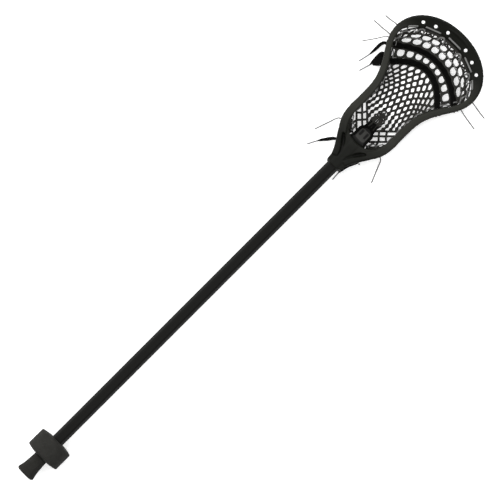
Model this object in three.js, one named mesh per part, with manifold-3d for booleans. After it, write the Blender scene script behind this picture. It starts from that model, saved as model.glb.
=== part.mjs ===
// A full-size lacrosse stick lying face up: octagonal alloy shaft, rubber end cap, sliding rubber ring,
// moulded head with its net pocket, laces and strings, and the free ends of those laces.
// Millimetres. +Z is up (the head's open face), +Y runs from the butt to the scoop, +X to the right.
// Along the stick, places are given as a station: the distance from the tip of the butt.

import * as THREE from 'three';
import Module from 'manifold-3d';
import { mergeVertices } from 'three/addons/utils/BufferGeometryUtils.js';

const wasm = await Module();
wasm.setup();

// ---------------------------------------------------------------- driving dimensions

const LENGTH = 1016;             // butt tip to scoop, 40 in
const AXIS_Z = 31.4;             // shaft axis above the ground: the ring's radius
const GAP = 0.3;                 // left between pieces that touch

const SHAFT = { width: 22.1, depth: 28.6, flatX: 12.5, flatZ: 15.2, wall: 1.2, start: 6, end: 762 };
const CAP = { length: 38, floor: 5.5 };
const RING = {
  radius: 31.4, start: 38.6, end: 77.4, crown: 2.2, round: 3, boreR: 9, shoulderR: 22, sides: 40,
};

const SOCKET = { start: 712, end: 764, wall: 3.1, chamfer: 3 };
const SCREW = { station: 736, shank: 1.9, head: 3.8, headHeight: 2.4, reach: 25, recessR: 1.5 };
const THROAT_Z = [13.6, 48.2];   // back and face of the throat's web

const WIDEST = { x: 89.5, station: 948 };        // widest point of the head
const WAIST_STATION = 830;
const HEAD_STEPS = 84;           // sections round the head's loop
const RAIL = { height: 5.6, lowerIn: 1.2, lowerWidth: 8, lowerHeight: 5.6 };
const WEB = { inset: 3.4, thickness: 3.2 };
const SCOOP_HOLE_R = 3.1;
const STRING_HOLE_R = 1.7;
const STRING_HOLE_RISE = 3.2;    // above the lower rail's underside

const NET_THICKNESS = 2.4;
const STRING_R = 1.0;            // nylon sidewall and top string
const THIN_STRING_R = 0.8;
const LACE_R = 2.3;              // round-equivalent of the thick lace
const AGLET_R = 1.1;
const BAND = { width: 9.4, thickness: 2.6 };     // a shooting lace, doubled side by side

// ---------------------------------------------------------------- materials

const paint = (color, roughness, metalness = 0) =>
  new THREE.MeshStandardMaterial({ color, roughness, metalness });
const ALLOY = paint(0x22231e, 0.42, 0.6);
const RUBBER = paint(0x2e2c2a, 0.85);
const RING_RUBBER = paint(0x373832, 0.8);
const NYLON = paint(0x2c2e29, 0.5);
const STEEL = paint(0x8b8b88, 0.35, 1);
const FOAM = paint(0x191a18, 0.9);
const NET = paint(0x282a24, 0.9);
const CORD = paint(0x3a3a38, 0.7);
const LACE = paint(0x0d0d0a, 0.9);
const TIP = paint(0x77777a, 0.5);

// ---------------------------------------------------------------- helpers

const along = (station) => station - LENGTH / 2;
const place = (x, station, z) => new THREE.Vector3(x, along(station), z);
const mirrorX = (rows) => rows.map(([x, ...rest]) => [-x, ...rest]);

// A smooth value along the stick through [station, value] rows.
function profile(rows) {
  const slope = rows.map((row, i) => {
    const before = rows[Math.max(i - 1, 0)];
    const after = rows[Math.min(i + 1, rows.length - 1)];
    return (after[1] - before[1]) / (after[0] - before[0]);
  });
  return (station) => {
    const last = rows.length - 1;
    const s = Math.min(Math.max(station, rows[0][0]), rows[last][0]);
    let i = 0;
    while (i < last - 1 && s > rows[i + 1][0]) i += 1;
    const span = rows[i + 1][0] - rows[i][0];
    const t = (s - rows[i][0]) / span;
    const rise = rows[i + 1][1] - rows[i][1];
    const a = slope[i] * span - rise;
    const b = rise - slope[i + 1] * span;
    return rows[i][1] + t * rise + t * (1 - t) * (a * (1 - t) + b * t);
  };
}

function merged(geometry) {
  const bare = geometry.clone();
  for (const name of Object.keys(bare.attributes)) {
    if (name !== 'position') bare.deleteAttribute(name);
  }
  return mergeVertices(bare, 1e-4);
}

function solid(geometry) {
  const mesh = merged(geometry);
  return new wasm.Manifold(new wasm.Mesh({
    numProp: 3,
    vertProperties: new Float32Array(mesh.attributes.position.array),
    triVerts: new Uint32Array(mesh.index.array),
  }));
}

function geometryOf(manifold) {
  const mesh = manifold.getMesh();
  const geometry = new THREE.BufferGeometry();
  const points = new Float32Array(mesh.vertProperties);
  geometry.setAttribute('position', new THREE.BufferAttribute(points, 3));
  geometry.setIndex(new THREE.BufferAttribute(new Uint32Array(mesh.triVerts), 1));
  geometry.computeVertexNormals();
  return geometry;
}

// A solid through rings of points, each ring convex and seen anticlockwise from its far end.
function loft(rings) {
  const size = rings[0].length;
  const position = rings.flat().flatMap((p) => [p.x, p.y, p.z]);
  const index = [];
  for (let r = 0; r < rings.length - 1; r += 1) {
    for (let i = 0; i < size; i += 1) {
      const a = r * size + i;
      const b = r * size + ((i + 1) % size);
      index.push(a, b, b + size, a, b + size, a + size);
    }
  }
  const end = (rings.length - 1) * size;
  for (let i = 1; i < size - 1; i += 1) {
    index.push(0, i + 1, i, end, end + i, end + i + 1);
  }
  const geometry = new THREE.BufferGeometry();
  geometry.setAttribute('position', new THREE.Float32BufferAttribute(position, 3));
  geometry.setIndex(index);
  return geometry;
}

// The shaft's section grown by a margin: an octagon, wider flats at the front and back than at the sides.
function octagon(margin) {
  const x = SHAFT.width / 2 + margin;
  const z = SHAFT.depth / 2 + margin;
  const flatX = SHAFT.flatX / 2 + margin * 0.45;
  const flatZ = SHAFT.flatZ / 2 + margin * 0.4;
  return [
    [x, -flatZ], [x, flatZ], [flatX, z], [-flatX, z], [-x, flatZ], [-x, -flatZ], [-flatX, -z], [flatX, -z],
  ];
}

// The octagon with its corners rounded, as a ring of points at a station.
function octagonRing(margin, station, roundSteps = 2, corner = 1.6) {
  const corners = octagon(margin).map(([x, z]) => new THREE.Vector2(x, z));
  const ring = [];
  corners.forEach((here, i) => {
    const before = corners[(i + 7) % 8];
    const after = corners[(i + 1) % 8];
    const from = here.clone().add(before.clone().sub(here).setLength(corner));
    const to = here.clone().add(after.clone().sub(here).setLength(corner));
    for (let k = 0; k <= roundSteps; k += 1) {
      const t = k / roundSteps;
      const p = from.clone().multiplyScalar((1 - t) ** 2);
      p.addScaledVector(here, 2 * t * (1 - t)).addScaledVector(to, t ** 2);
      ring.push(place(-p.x, station, AXIS_Z + p.y));
    }
  });
  return ring;
}

function octagonPrism(margin, start, end) {
  return loft([octagonRing(margin, start), octagonRing(margin, end)]);
}

function cylinder(radius, from, to, sides = 12) {
  const axis = to.clone().sub(from);
  const geometry = new THREE.CylinderGeometry(radius, radius, axis.length(), sides);
  const upright = new THREE.Vector3(0, 1, 0);
  geometry.applyQuaternion(new THREE.Quaternion().setFromUnitVectors(upright, axis.clone().normalize()));
  geometry.translate(...from.clone().add(to).multiplyScalar(0.5).toArray());
  return geometry;
}

function smoothLine(points) {
  return new THREE.CatmullRomCurve3(points, false, 'centripetal');
}

// A plain tube along [x, station, z] points.
function tube(points, radius, stepLength = 3, sides = 8) {
  const path = smoothLine(points.map((p) => place(...p)));
  const section = new THREE.Shape();
  for (let i = 0; i < sides; i += 1) {
    const angle = (i + 0.5) * 2 * Math.PI / sides;
    section[i === 0 ? 'moveTo' : 'lineTo'](radius * Math.cos(angle), radius * Math.sin(angle));
  }
  section.closePath();
  const steps = Math.max(3, Math.round(path.getLength() / stepLength));
  return new THREE.ExtrudeGeometry(section, { steps, extrudePath: path, bevelEnabled: false });
}

// A block of any outline in the plane of x and station, from z0 up to z1.
function slab(outline, z0, z1) {
  const shape = new THREE.Shape(outline.map(([x, station]) => new THREE.Vector2(x, along(station))));
  const geometry = new THREE.ExtrudeGeometry(shape, { depth: z1 - z0, bevelEnabled: false });
  geometry.translate(0, 0, z0);
  return geometry;
}

// ---------------------------------------------------------------- the head's outline and heights

// Right half of the outer edge, from the socket to the widest point; the scoop is an ellipse above it.
const SIDE_EDGE = [
  [16.2, 726], [20.4, 736], [28.3, 749.2], [36.6, 762.2], [44.6, 775.3], [49.0, 788.4], [50.7, 803],
  [50.5, WAIST_STATION], [51.4, 855], [56.0, 873.5], [65.2, 893], [77.8, 912.7], [86.6, 931],
];
const SCOOP_ANGLES = [0, 12, 25, 38, 51, 64, 77, 90];
const scoopEdge = SCOOP_ANGLES.map((degrees) => {
  const a = THREE.MathUtils.degToRad(degrees);
  const rise = LENGTH - WIDEST.station;
  const roundness = 0.97;        // a little squarer than an ellipse
  return [
    WIDEST.x * Math.cos(a) ** roundness,
    WIDEST.station + rise * Math.sin(a) ** roundness,
  ];
});
const rightEdge = [...SIDE_EDGE, ...scoopEdge];
const leftEdge = mirrorX(rightEdge.slice(0, -1)).reverse();
const edgeLoop = [...rightEdge.slice(0, -1), [0, LENGTH], ...leftEdge];
const edgeCurve = new THREE.SplineCurve(edgeLoop.map(([x, s]) => new THREE.Vector2(x, s)));

edgeCurve.arcLengthDivisions = 1200;

// A point on the edge, a fraction of the way round it, with the level direction that faces into the head.
function edgeAt(fraction) {
  const at = edgeCurve.getPointAt(fraction);
  const run = edgeCurve.getTangentAt(fraction);
  return { x: at.x, station: at.y, inX: -run.y, inS: run.x };
}

// How far round the right side is at a station; the left side's twin is at 1 less this.
function fractionAt(station) {
  let [low, high] = [0, 0.5];
  for (let i = 0; i < 30; i += 1) {
    const middle = (low + high) / 2;
    if (edgeCurve.getPointAt(middle).y < station) low = middle;
    else high = middle;
  }
  return low;
}

const topZ = profile([
  [712, 49.5], [760, 50.5], [800, 49.5], [850, 46], [900, 44.5], [945, 48], [985, 55], [1016, 60],
]);
const lowZ = profile([
  [712, 13.4], [745, 12.5], [775, 10], [810, 8], [880, 7], [925, 9.5], [955, 17], [985, 32], [1016, 53],
]);
const railWidth = profile([
  [712, 15], [770, 14.5], [840, 13.8], [885, 11.6], [945, 11], [962, 15], [978, 19.5], [1003, 24], [1016, 25],
]);
// How far the scoop's inner edge sits below its outer edge.
const scoopDrop = profile([[712, 0], [950, 0], [985, 6], [1016, 11]]);

// A point at a depth in from the outer edge.
const inward = (edge, depth, z) => place(edge.x + edge.inX * depth, edge.station + edge.inS * depth, z);

// ---------------------------------------------------------------- head frame

const edges = Array.from({ length: HEAD_STEPS + 1 }, (_, i) => edgeAt(i / HEAD_STEPS));

// Sections run anticlockwise as seen from the far end of the loop, which goes right side, scoop, left side.
function railLoop(section) {
  return loft(edges.map((edge) => section(edge).map(([depth, z]) => inward(edge, depth, z))));
}

const topRail = railLoop((edge) => {
  const width = railWidth(edge.station);
  const top = topZ(edge.station);
  const drop = scoopDrop(edge.station);
  return [
    [1.2, top - RAIL.height], [width - 1.2, top - RAIL.height - drop],
    [width, top - RAIL.height - drop + 1.6],
    [width, top - drop - 1.8], [width - 1.8, top - drop], [2.6, top], [0, top - 3],
  ];
});

const lowerRail = railLoop((edge) => {
  const low = lowZ(edge.station);
  const inner = RAIL.lowerIn + RAIL.lowerWidth;
  return [
    [RAIL.lowerIn + 1.6, low], [inner - 1.6, low], [inner, low + 1.6], [inner, low + RAIL.lowerHeight],
    [RAIL.lowerIn, low + RAIL.lowerHeight], [RAIL.lowerIn, low + 1.6],
  ];
});

const web = railLoop((edge) => {
  const bottom = lowZ(edge.station) + 2;
  const top = Math.max(topZ(edge.station) - 2, bottom + 1);
  return [
    [WEB.inset, bottom], [WEB.inset + WEB.thickness, bottom],
    [WEB.inset + WEB.thickness, top], [WEB.inset, top],
  ];
});

// Openings through each sidewall between the rails, narrower where the wall gets lower.
const WINDOWS = [[783, 805], [814, 838], [847, 871], [880, 900], [909, 928], [938, 962]];
const WINDOW_MARGIN = 2.4;

function sidewallWindow(from, to) {
  const steps = 3;
  const rings = [];
  for (let i = 0; i <= steps; i += 1) {
    const edge = edgeAt(from + (to - from) * i / steps);
    const isEnd = i === 0 || i === steps;
    const narrowing = isEnd ? 4 : 0;
    const bottom = lowZ(edge.station) + RAIL.lowerHeight + WINDOW_MARGIN + narrowing;
    const top = topZ(edge.station) - RAIL.height - scoopDrop(edge.station) - WINDOW_MARGIN - narrowing;
    rings.push([[0.5, bottom], [12, bottom], [12, top], [0.5, top]]
      .map(([depth, z]) => inward(edge, depth, z)));
  }
  return loft(rings);
}

// Small holes through the lower rail for the sidewall string.
const STRING_HOLES = [778, 798, 818, 838, 858, 878, 898, 917, 932, 949];

function railHole(fraction) {
  const edge = edgeAt(fraction);
  const z = lowZ(edge.station) + STRING_HOLE_RISE;
  return cylinder(STRING_HOLE_R, inward(edge, -2, z), inward(edge, 13, z), 6);
}

const SCOOP_HOLES = [[20.3, 999.4], [41.6, 992.6], [61.2, 983.3]];
const TOP_STRING_HOLES = [[12.6, 994.2], [28.4, 989.6], [51.6, 980.6], [63.2, 971.6], [73.2, 961.4]];

const scoopHole = (x, station, radius, sides) =>
  cylinder(radius, place(x, station, 20), place(x, station, 80), sides);

// The throat: a solid web between the two sidewalls that narrows to the socket.
const THROAT_OUTLINE_RIGHT = [[15.7, 716], [16.3, 726], [20.6, 736], [28.3, 749], [36.4, 761.6], [39, 768]];
const THROAT_SEAT = [[30, 780], [22, 772.5], [12, 767.6], [0, 766]];
const throatOutline = [
  ...THROAT_OUTLINE_RIGHT.map(([x, s]) => [x - 0.6, s]),
  ...THROAT_SEAT,
  ...mirrorX(THROAT_SEAT.slice(0, -1)).reverse(),
  ...mirrorX(THROAT_OUTLINE_RIGHT).reverse().map(([x, s]) => [x + 0.6, s]),
];
const throat = slab(throatOutline, ...THROAT_Z);

// Two hollows in the throat's face, either side of a middle spine that opens into a Y.
function throatHollow(side) {
  // [x, station, half width, depth below the hollow's middle]
  const route = [
    [5.4, 727, 1.4, 1.4], [7, 738, 2.4, 2.8], [11, 745.5, 3.2, 3.4], [15.4, 752, 4.2, 6], [19.8, 758.5, 4.6, 7.5],
    [25, 764.5, 3.2, 5],
  ];
  const middleZ = 50;
  const rings = route.map(([x, s, half, depth]) => {
    const ring = [];
    for (let i = 0; i < 8; i += 1) {
      const a = i * Math.PI / 4;
      ring.push(place(side * (x + half * Math.cos(a)), s, middleZ + depth * Math.sin(a)));
    }
    return side > 0 ? ring.reverse() : ring;
  });
  return loft(rings);
}

// A sloping tongue below the ball stop, from the throat's face down towards the pocket.
const TONGUE = {
  halfWidth: 13.6, top: [765, 45], bottom: [794, 15], thickness: 4.5, rootLength: 6, rootDepth: 22,
};

function tongue() {
  const [s0, z0] = TONGUE.top;
  const [s1, z1] = TONGUE.bottom;
  const { halfWidth, thickness, rootLength, rootDepth } = TONGUE;
  const ring = (x) => [
    place(x, s0 - rootLength, z0), place(x, s0 - rootLength, z0 - rootDepth),
    place(x, s1 - thickness, z1 - thickness), place(x, s1, z1), place(x, s0, z0),
  ];
  return loft([ring(-halfWidth), ring(halfWidth)]);
}

// The screw's clearance hole through the back of the socket and of the shaft.
const screwHole = () =>
  solid(cylinder(SCREW.shank + GAP + 0.1, place(0, SCREW.station, 0), place(0, SCREW.station, AXIS_Z)));

function headFrame() {
  const windows = WINDOWS.map((ends) => ends.map(fractionAt))
    .flatMap(([a, b]) => [sidewallWindow(a, b), sidewallWindow(1 - b, 1 - a)]);
  let wall = solid(web);
  for (const opening of windows) wall = wall.subtract(solid(opening));
  const socketRings = [
    octagonRing(SOCKET.wall - 1.4, SOCKET.start), octagonRing(SOCKET.wall, SOCKET.start + SOCKET.chamfer),
    octagonRing(SOCKET.wall, SOCKET.end),
  ];
  let frame = wall;
  for (const piece of [topRail, lowerRail, loft(socketRings), throat]) frame = frame.add(solid(piece));
  for (const side of [1, -1]) frame = frame.subtract(solid(throatHollow(side)));
  frame = frame.add(solid(tongue()));
  frame = frame.subtract(solid(octagonPrism(GAP, SOCKET.start - 5, SHAFT.end + GAP)));
  for (const side of [1, -1]) {
    const holes = [
      ...SCOOP_HOLES.map(([x, s]) => scoopHole(side * x, s, SCOOP_HOLE_R, 10)),
      ...TOP_STRING_HOLES.map(([x, s]) => scoopHole(side * x, s, STRING_HOLE_R, 6)),
    ];
    for (const hole of holes) frame = frame.subtract(solid(hole));
  }
  for (const fraction of STRING_HOLES.map(fractionAt)) {
    frame = frame.subtract(solid(railHole(fraction))).subtract(solid(railHole(1 - fraction)));
  }
  return geometryOf(frame.subtract(screwHole()));
}

function headScrew() {
  const top = THROAT_Z[0] - GAP;
  const { shank, head, headHeight, reach, recessR } = SCREW;
  const profilePoints = [
    [0, top - headHeight], [head * 0.6, top - headHeight], [head, top - headHeight * 0.5], [head, top],
    [shank, top], [shank, reach - 1.5], [shank * 0.4, reach], [0, reach],
  ].map(([r, z]) => new THREE.Vector2(r, z));
  const turned = new THREE.LatheGeometry(profilePoints, 16);
  turned.rotateX(Math.PI / 2);
  turned.translate(0, along(SCREW.station), 0);
  const socketTop = place(0, SCREW.station, top - headHeight + 1.3);
  const recess = cylinder(recessR, place(0, SCREW.station, 5), socketTop, 6);
  return geometryOf(solid(turned).subtract(solid(recess)));
}

// ---------------------------------------------------------------- shaft, end cap and ring

function shaft() {
  const bore = solid(octagonPrism(-SHAFT.wall, SHAFT.start - 1, SHAFT.end + 1));
  return geometryOf(solid(octagonPrism(0, SHAFT.start, SHAFT.end)).subtract(bore).subtract(screwHole()));
}

function endCap() {
  // [station, margin over the shaft's section]: the boot flares towards the butt, which is flat with a
  // rounded rim
  const stations = [
    [0, -1], [0.5, 1.6], [1.6, 3.6], [3.4, 5.3], [8, 4.2], [15, 2.9], [23, 2.0], [31, 1.45],
    [CAP.length, 1.15],
  ];
  const outer = solid(loft(stations.map(([s, margin]) => octagonRing(margin, s))));
  return geometryOf(outer.subtract(solid(octagonPrism(GAP, CAP.floor, CAP.length + 1))));
}

function gripRing() {
  const { radius, start, end, crown, round, boreR, shoulderR, sides } = RING;
  const arc = (centre, from) => [0, 1, 2].map((k) => {
    const a = from + k * Math.PI / 4;
    return [radius - round + round * Math.cos(a), centre + round * Math.sin(a)];
  });
  const points = [
    [boreR, start], [shoulderR, start + crown * 0.4],
    ...arc(start + crown + round, -Math.PI / 2),
    ...arc(end - crown - round, 0),
    [shoulderR, end - crown * 0.4], [boreR, end], [boreR, start],
  ].map(([r, s]) => new THREE.Vector2(r, along(s)));
  const turned = new THREE.LatheGeometry(points, sides);
  turned.translate(0, 0, AXIS_Z);
  return geometryOf(solid(turned).subtract(solid(octagonPrism(GAP, start - 5, end + 5))));
}

// ---------------------------------------------------------------- ball stop

const PAD = { width: 29.4, length: 37, thickness: 4.6, corner: 8, foot: 3, start: 3.6 };

function ballStop() {
  const half = PAD.width / 2;
  const shape = new THREE.Shape();
  shape.moveTo(-half + PAD.foot, 0);
  shape.lineTo(half - PAD.foot, 0);
  shape.quadraticCurveTo(half, 0, half, PAD.foot);
  shape.lineTo(half, PAD.length - PAD.corner);
  shape.quadraticCurveTo(half, PAD.length, half - PAD.corner, PAD.length);
  shape.lineTo(-half + PAD.corner, PAD.length);
  shape.quadraticCurveTo(-half, PAD.length, -half, PAD.length - PAD.corner);
  shape.lineTo(-half, PAD.foot);
  shape.quadraticCurveTo(-half, 0, -half + PAD.foot, 0);
  const extrusion = { depth: PAD.thickness, bevelEnabled: false, curveSegments: 4 };
  const geometry = new THREE.ExtrudeGeometry(shape, extrusion);
  const [s0, z0] = TONGUE.top;
  const [s1, z1] = TONGUE.bottom;
  const slope = Math.atan2(z0 - z1, s1 - s0);
  geometry.rotateX(-slope);
  const lift = GAP + 0.1;
  const drop = PAD.start * Math.tan(slope);
  geometry.translate(0, along(s0 + PAD.start) + lift * Math.sin(slope), z0 - drop + lift * Math.cos(slope));
  return geometry;
}

// ---------------------------------------------------------------- the net pocket

// Rows run across the net and bow towards the scoop. A row is named by the station where it meets the
// sidewalls; its middle is further up, at the row's apex.
const NET_START = 776;
const NET_END = 945;
const netHalfWidth = profile([
  [776, 23.5], [781, 29.3], [787, 34.2], [795, 37.6], [803, 39.2], [830, 39.3], [855, 40.2], [873.5, 44.4],
  [893, 52.4], [912.7, 65], [931, 74.8], [945, 77.4],
]);
const netApex = profile([
  [776, 806], [790, 818], [812, 833], [840, 851], [862, 876], [880, 905], [899, 933], [921, 952.7],
  [945, 990.3],
]);
const netRimZ = profile([
  [776, 17], [795, 13.5], [830, 12.5], [873, 12.5], [900, 13.5], [921, 16], [945, 24],
]);
const netFloorZ = profile([
  [776, 11], [783, 5], [792, 1.2], [873, 1.2], [886, 2], [899, 6], [910, 10], [921, 15], [933, 27],
  [945, 45.5],
]);
const netSteepness = profile([[776, 2.5], [800, 5], [870, 5], [900, 3], [945, 2.6]]);
const netBow = profile([[776, 2], [921, 2], [945, 2.6]]);
const NET_NOTCH = { halfWidth: 15.8, start: 740, end: 802 };    // round the ball stop's foot

// A point on the net's middle surface: u runs from -1 at the left sidewall to 1 at the right.
function netPoint(row, u) {
  const across = Math.abs(u);
  const apex = netApex(row);
  const floor = netFloorZ(row);
  return place(
    u * netHalfWidth(row),
    apex - (apex - row) * across ** netBow(row),
    Math.max(floor + (netRimZ(row) - floor) * across ** netSteepness(row), NET_THICKNESS / 2),
  );
}

function netFrame(row, u) {
  const step = 0.02;
  const right = netPoint(row, u + step).sub(netPoint(row, u - step)).normalize();
  const beyond = Math.min(row + 1, NET_END);
  const ahead = netPoint(beyond, u).sub(netPoint(beyond - 2, u)).normalize();
  const up = right.clone().cross(ahead).normalize();
  return { point: netPoint(row, u), right, ahead: up.clone().cross(right), up };
}

function netPocket() {
  const rows = 18;
  const columns = 16;
  const ring = (row) => {
    const top = [];
    const bottom = [];
    for (let c = 0; c <= columns; c += 1) {
      const point = netPoint(row, 2 * c / columns - 1);
      top.push(point.clone().add(new THREE.Vector3(0, 0, NET_THICKNESS / 2)));
      bottom.push(point.clone().sub(new THREE.Vector3(0, 0, NET_THICKNESS / 2)));
    }
    return { top, bottom };
  };
  const position = [];
  const index = [];
  const width = columns + 1;
  for (let r = 0; r <= rows; r += 1) {
    const { top, bottom } = ring(NET_START + (NET_END - NET_START) * r / rows);
    [...top, ...bottom].forEach((p) => position.push(p.x, p.y, p.z));
  }
  const quad = (a, b, c, d) => index.push(a, b, c, a, c, d);
  for (let r = 0; r < rows; r += 1) {
    const here = r * 2 * width;
    const next = here + 2 * width;
    for (let c = 0; c < columns; c += 1) {
      quad(here + c, here + c + 1, next + c + 1, next + c);
      quad(here + width + c, next + width + c, next + width + c + 1, here + width + c + 1);
    }
    quad(here, next, next + width, here + width);
    quad(here + columns, here + width + columns, next + width + columns, next + columns);
  }
  const last = rows * 2 * width;
  for (let c = 0; c < columns; c += 1) {
    quad(c, c + width, c + width + 1, c + 1);
    quad(last + c, last + c + 1, last + width + c + 1, last + width + c);
  }
  const geometry = new THREE.BufferGeometry();
  geometry.setAttribute('position', new THREE.Float32BufferAttribute(position, 3));
  geometry.setIndex(index);
  const { halfWidth, start, end } = NET_NOTCH;
  const notch = [[-halfWidth, start], [halfWidth, start], [halfWidth, end], [-halfWidth, end]];
  return geometryOf(solid(geometry).subtract(solid(slab(notch, -5, 60))));
}

const HEM = { station: 809, z: 13.2, halfWidth: 10.7, height: 5.2, round: 1.4, thickness: 2.4 };

function meshHem() {
  const shape = new THREE.Shape();
  const { halfWidth: half, height, round, thickness } = HEM;
  shape.moveTo(-half + round, 0);
  shape.lineTo(half - round, 0);
  shape.quadraticCurveTo(half, 0, half, round);
  shape.lineTo(half, height - round);
  shape.quadraticCurveTo(half, height, half - round, height);
  shape.lineTo(-half + round, height);
  shape.quadraticCurveTo(-half, height, -half, height - round);
  shape.lineTo(-half, round);
  shape.quadraticCurveTo(-half, 0, -half + round, 0);
  const extrusion = { depth: thickness, bevelEnabled: false, curveSegments: 3 };
  const geometry = new THREE.ExtrudeGeometry(shape, extrusion);
  geometry.translate(0, along(HEM.station), HEM.z);
  return geometry;
}

// ---------------------------------------------------------------- laces and strings tied into the net

// A flat band that lies on the net along one row.
function shootingBand(row, reach) {
  const steps = 26;
  const lift = NET_THICKNESS / 2 + GAP + 0.5 + BAND.thickness / 2;
  const rings = [];
  for (let i = 0; i <= steps; i += 1) {
    const { point, ahead, up } = netFrame(row, reach * (2 * i / steps - 1));
    const ring = [];
    for (let k = 0; k < 8; k += 1) {
      const a = (k + 0.5) * Math.PI / 4;
      const flat = Math.sign(Math.cos(a)) * Math.abs(Math.cos(a)) ** 0.6 * BAND.width / 2;
      const thick = Math.sign(Math.sin(a)) * Math.abs(Math.sin(a)) ** 0.8 * BAND.thickness / 2;
      ring.push(point.clone().addScaledVector(up, lift + thick).addScaledVector(ahead, flat));
    }
    rings.push(ring);
  }
  return loft(rings);
}

// A round string that lies on the net, through [row, u] places.
function netString(places, radius) {
  const lift = NET_THICKNESS / 2 + GAP + 0.4 + radius;
  const route = places.map(([row, u]) => {
    const { point, up } = netFrame(row, u);
    return point.addScaledVector(up, lift);
  });
  return tube(route.map((p) => [p.x, p.y + LENGTH / 2, p.z]), radius, 7 * radius);
}

const fractions = (count) => Array.from({ length: count + 1 }, (_, i) => i / count);
const acrossNet = (row, reach, count) => fractions(count).map((t) => [row, reach * (2 * t - 1)]);
const alongNet = (u, from, to, count) => fractions(count).map((t) => [from + (to - from) * t, u]);

const BOTTOM_LACE = [
  [-21.5, 776.6, 24], [-20, 783, 21], [-18.6, 790, 17.5], [-17.6, 797, 16], [-12.5, 802.6, 16.5],
  [-5, 804.6, 16.8],
];

// ---------------------------------------------------------------- free ends of strings and laces
// Each leaves a hole in the head, droops to the ground and lies along it: [x, station, z] by hand.

const STRING_TAILS = {
  top_string_tail_left: [
    [-88.9, 951, 18.9], [-92.5, 951, 17.9], [-96.2, 950.6, 12.6], [-99, 950.2, 5.7], [-103, 949.8, 1.9],
    [-107.5, 949.4, 1.1], [-112.5, 949, 1.1],
  ],
  shooter_tail_left: [
    [-86.3, 932, 14], [-90, 931.9, 13.2], [-94.5, 931.6, 8.8], [-98.5, 931.2, 3.3], [-103, 930.9, 1.6],
    [-109, 930.6, 1.1], [-120, 930, 1.1],
  ],
  top_string_tail_right: [
    [88.9, 948, 17.8], [92.5, 947.6, 17], [96.3, 947.1, 12.3], [99.4, 946.7, 5.8], [103.2, 946.2, 1.9],
    [108.6, 945.4, 1.1], [120.3, 944, 1.1],
  ],
  shooter_tail_right: [
    [84.3, 926.2, 13.2], [87.8, 925.4, 12.5], [91.6, 924.5, 8.5], [95, 923.9, 3.4], [99.4, 923.2, 1.7],
    [106, 922.2, 1.1], [121, 920, 1.1],
  ],
  sidewall_tail_left: [
    [-45.5, 777.5, 13.2], [-48.6, 775.4, 12.6], [-51.2, 771, 8.8], [-53, 766, 3.8], [-54.7, 761, 1.8],
    [-57, 754.4, 1.1], [-63.2, 736.2, 1.1],
  ],
  sidewall_tail_right: [
    [45.5, 777.7, 13.2], [48.6, 775.6, 12.6], [51.3, 771.2, 8.8], [53.2, 766.4, 3.8], [55.1, 761.8, 1.8],
    [57.6, 755.6, 1.1], [64.6, 739, 1.1],
  ],
};
const THIN_TAILS = {
  sidewall_upper_tail_left: [
    [-84.8, 927.3, 13], [-88.2, 925, 12.2], [-91.5, 920.5, 7.6], [-94.5, 915.8, 2.8], [-97.8, 910.6, 1.3],
    [-102, 904.6, 0.9], [-110.4, 892.6, 0.9],
  ],
};
const LACE_TAILS = {
  upper_lace_tail: [
    [-80, 917.3, 13.5], [-83, 914.9, 12.7], [-85.2, 909.6, 8.8], [-85.6, 903.5, 4.6], [-85.7, 897, 2.7],
    [-86.4, 887, 2.5],
  ],
  lower_lace_tail: [
    [-70.8, 902.6, 13], [-73.4, 900.6, 12.2], [-74.4, 895.5, 8.4], [-74.5, 889.5, 4.2], [-74.3, 882.5, 2.7],
    [-74, 874.6, 2.5],
  ],
  bottom_lace_tail_left: [
    [-28, 748, 17], [-31.2, 745.4, 16.2], [-34.6, 741.2, 11.6], [-37.6, 737.4, 6.2], [-41, 733.2, 2.9],
    [-46, 726.2, 2.4],
  ],
  bottom_lace_tail_right: [
    [24.6, 746.8, 11.8], [24.2, 745.4, 8.6], [22.6, 741.8, 4.8], [20, 736.4, 2.7], [17.2, 729.5, 2.4],
    [14.8, 713, 2.4],
  ],
};
const LACE_TIPS = {
  upper_lace_tip: [[-86.5, 886.2, 2.2], [-88.4, 877, 1.3], [-91, 866, 1.2]],
  lower_lace_tip: [[-74.1, 873.9, 2.2], [-76.6, 865, 1.3], [-79.6, 855.2, 1.2]],
  bottom_lace_tip_left: [[-46.5, 725.6, 2.2], [-50.4, 718.2, 1.3], [-55, 709.4, 1.2]],
  bottom_lace_tip_right: [[14.8, 712.2, 2.2], [15.2, 705.5, 1.3], [15.8, 697.8, 1.2]],
};
const LOWER_LACE_LOOP = [
  [-62.2, 885.2, 12.5], [-64, 882.4, 11], [-66.9, 878.8, 6.6], [-69, 881, 3.8], [-69.2, 886.4, 4.6],
  [-68.8, 891.4, 9], [-67.7, 894.6, 12.3],
];

function throatKnot() {
  const geometry = new THREE.SphereGeometry(1.6, 10, 8);
  geometry.translate(28.8, along(745.7), 17);
  return geometry;
}

// ---------------------------------------------------------------- the whole stick

const stick = new THREE.Group();

function add(name, geometry, material) {
  const mesh = new THREE.Mesh(geometry, material);
  mesh.name = name;
  stick.add(mesh);
}

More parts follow.
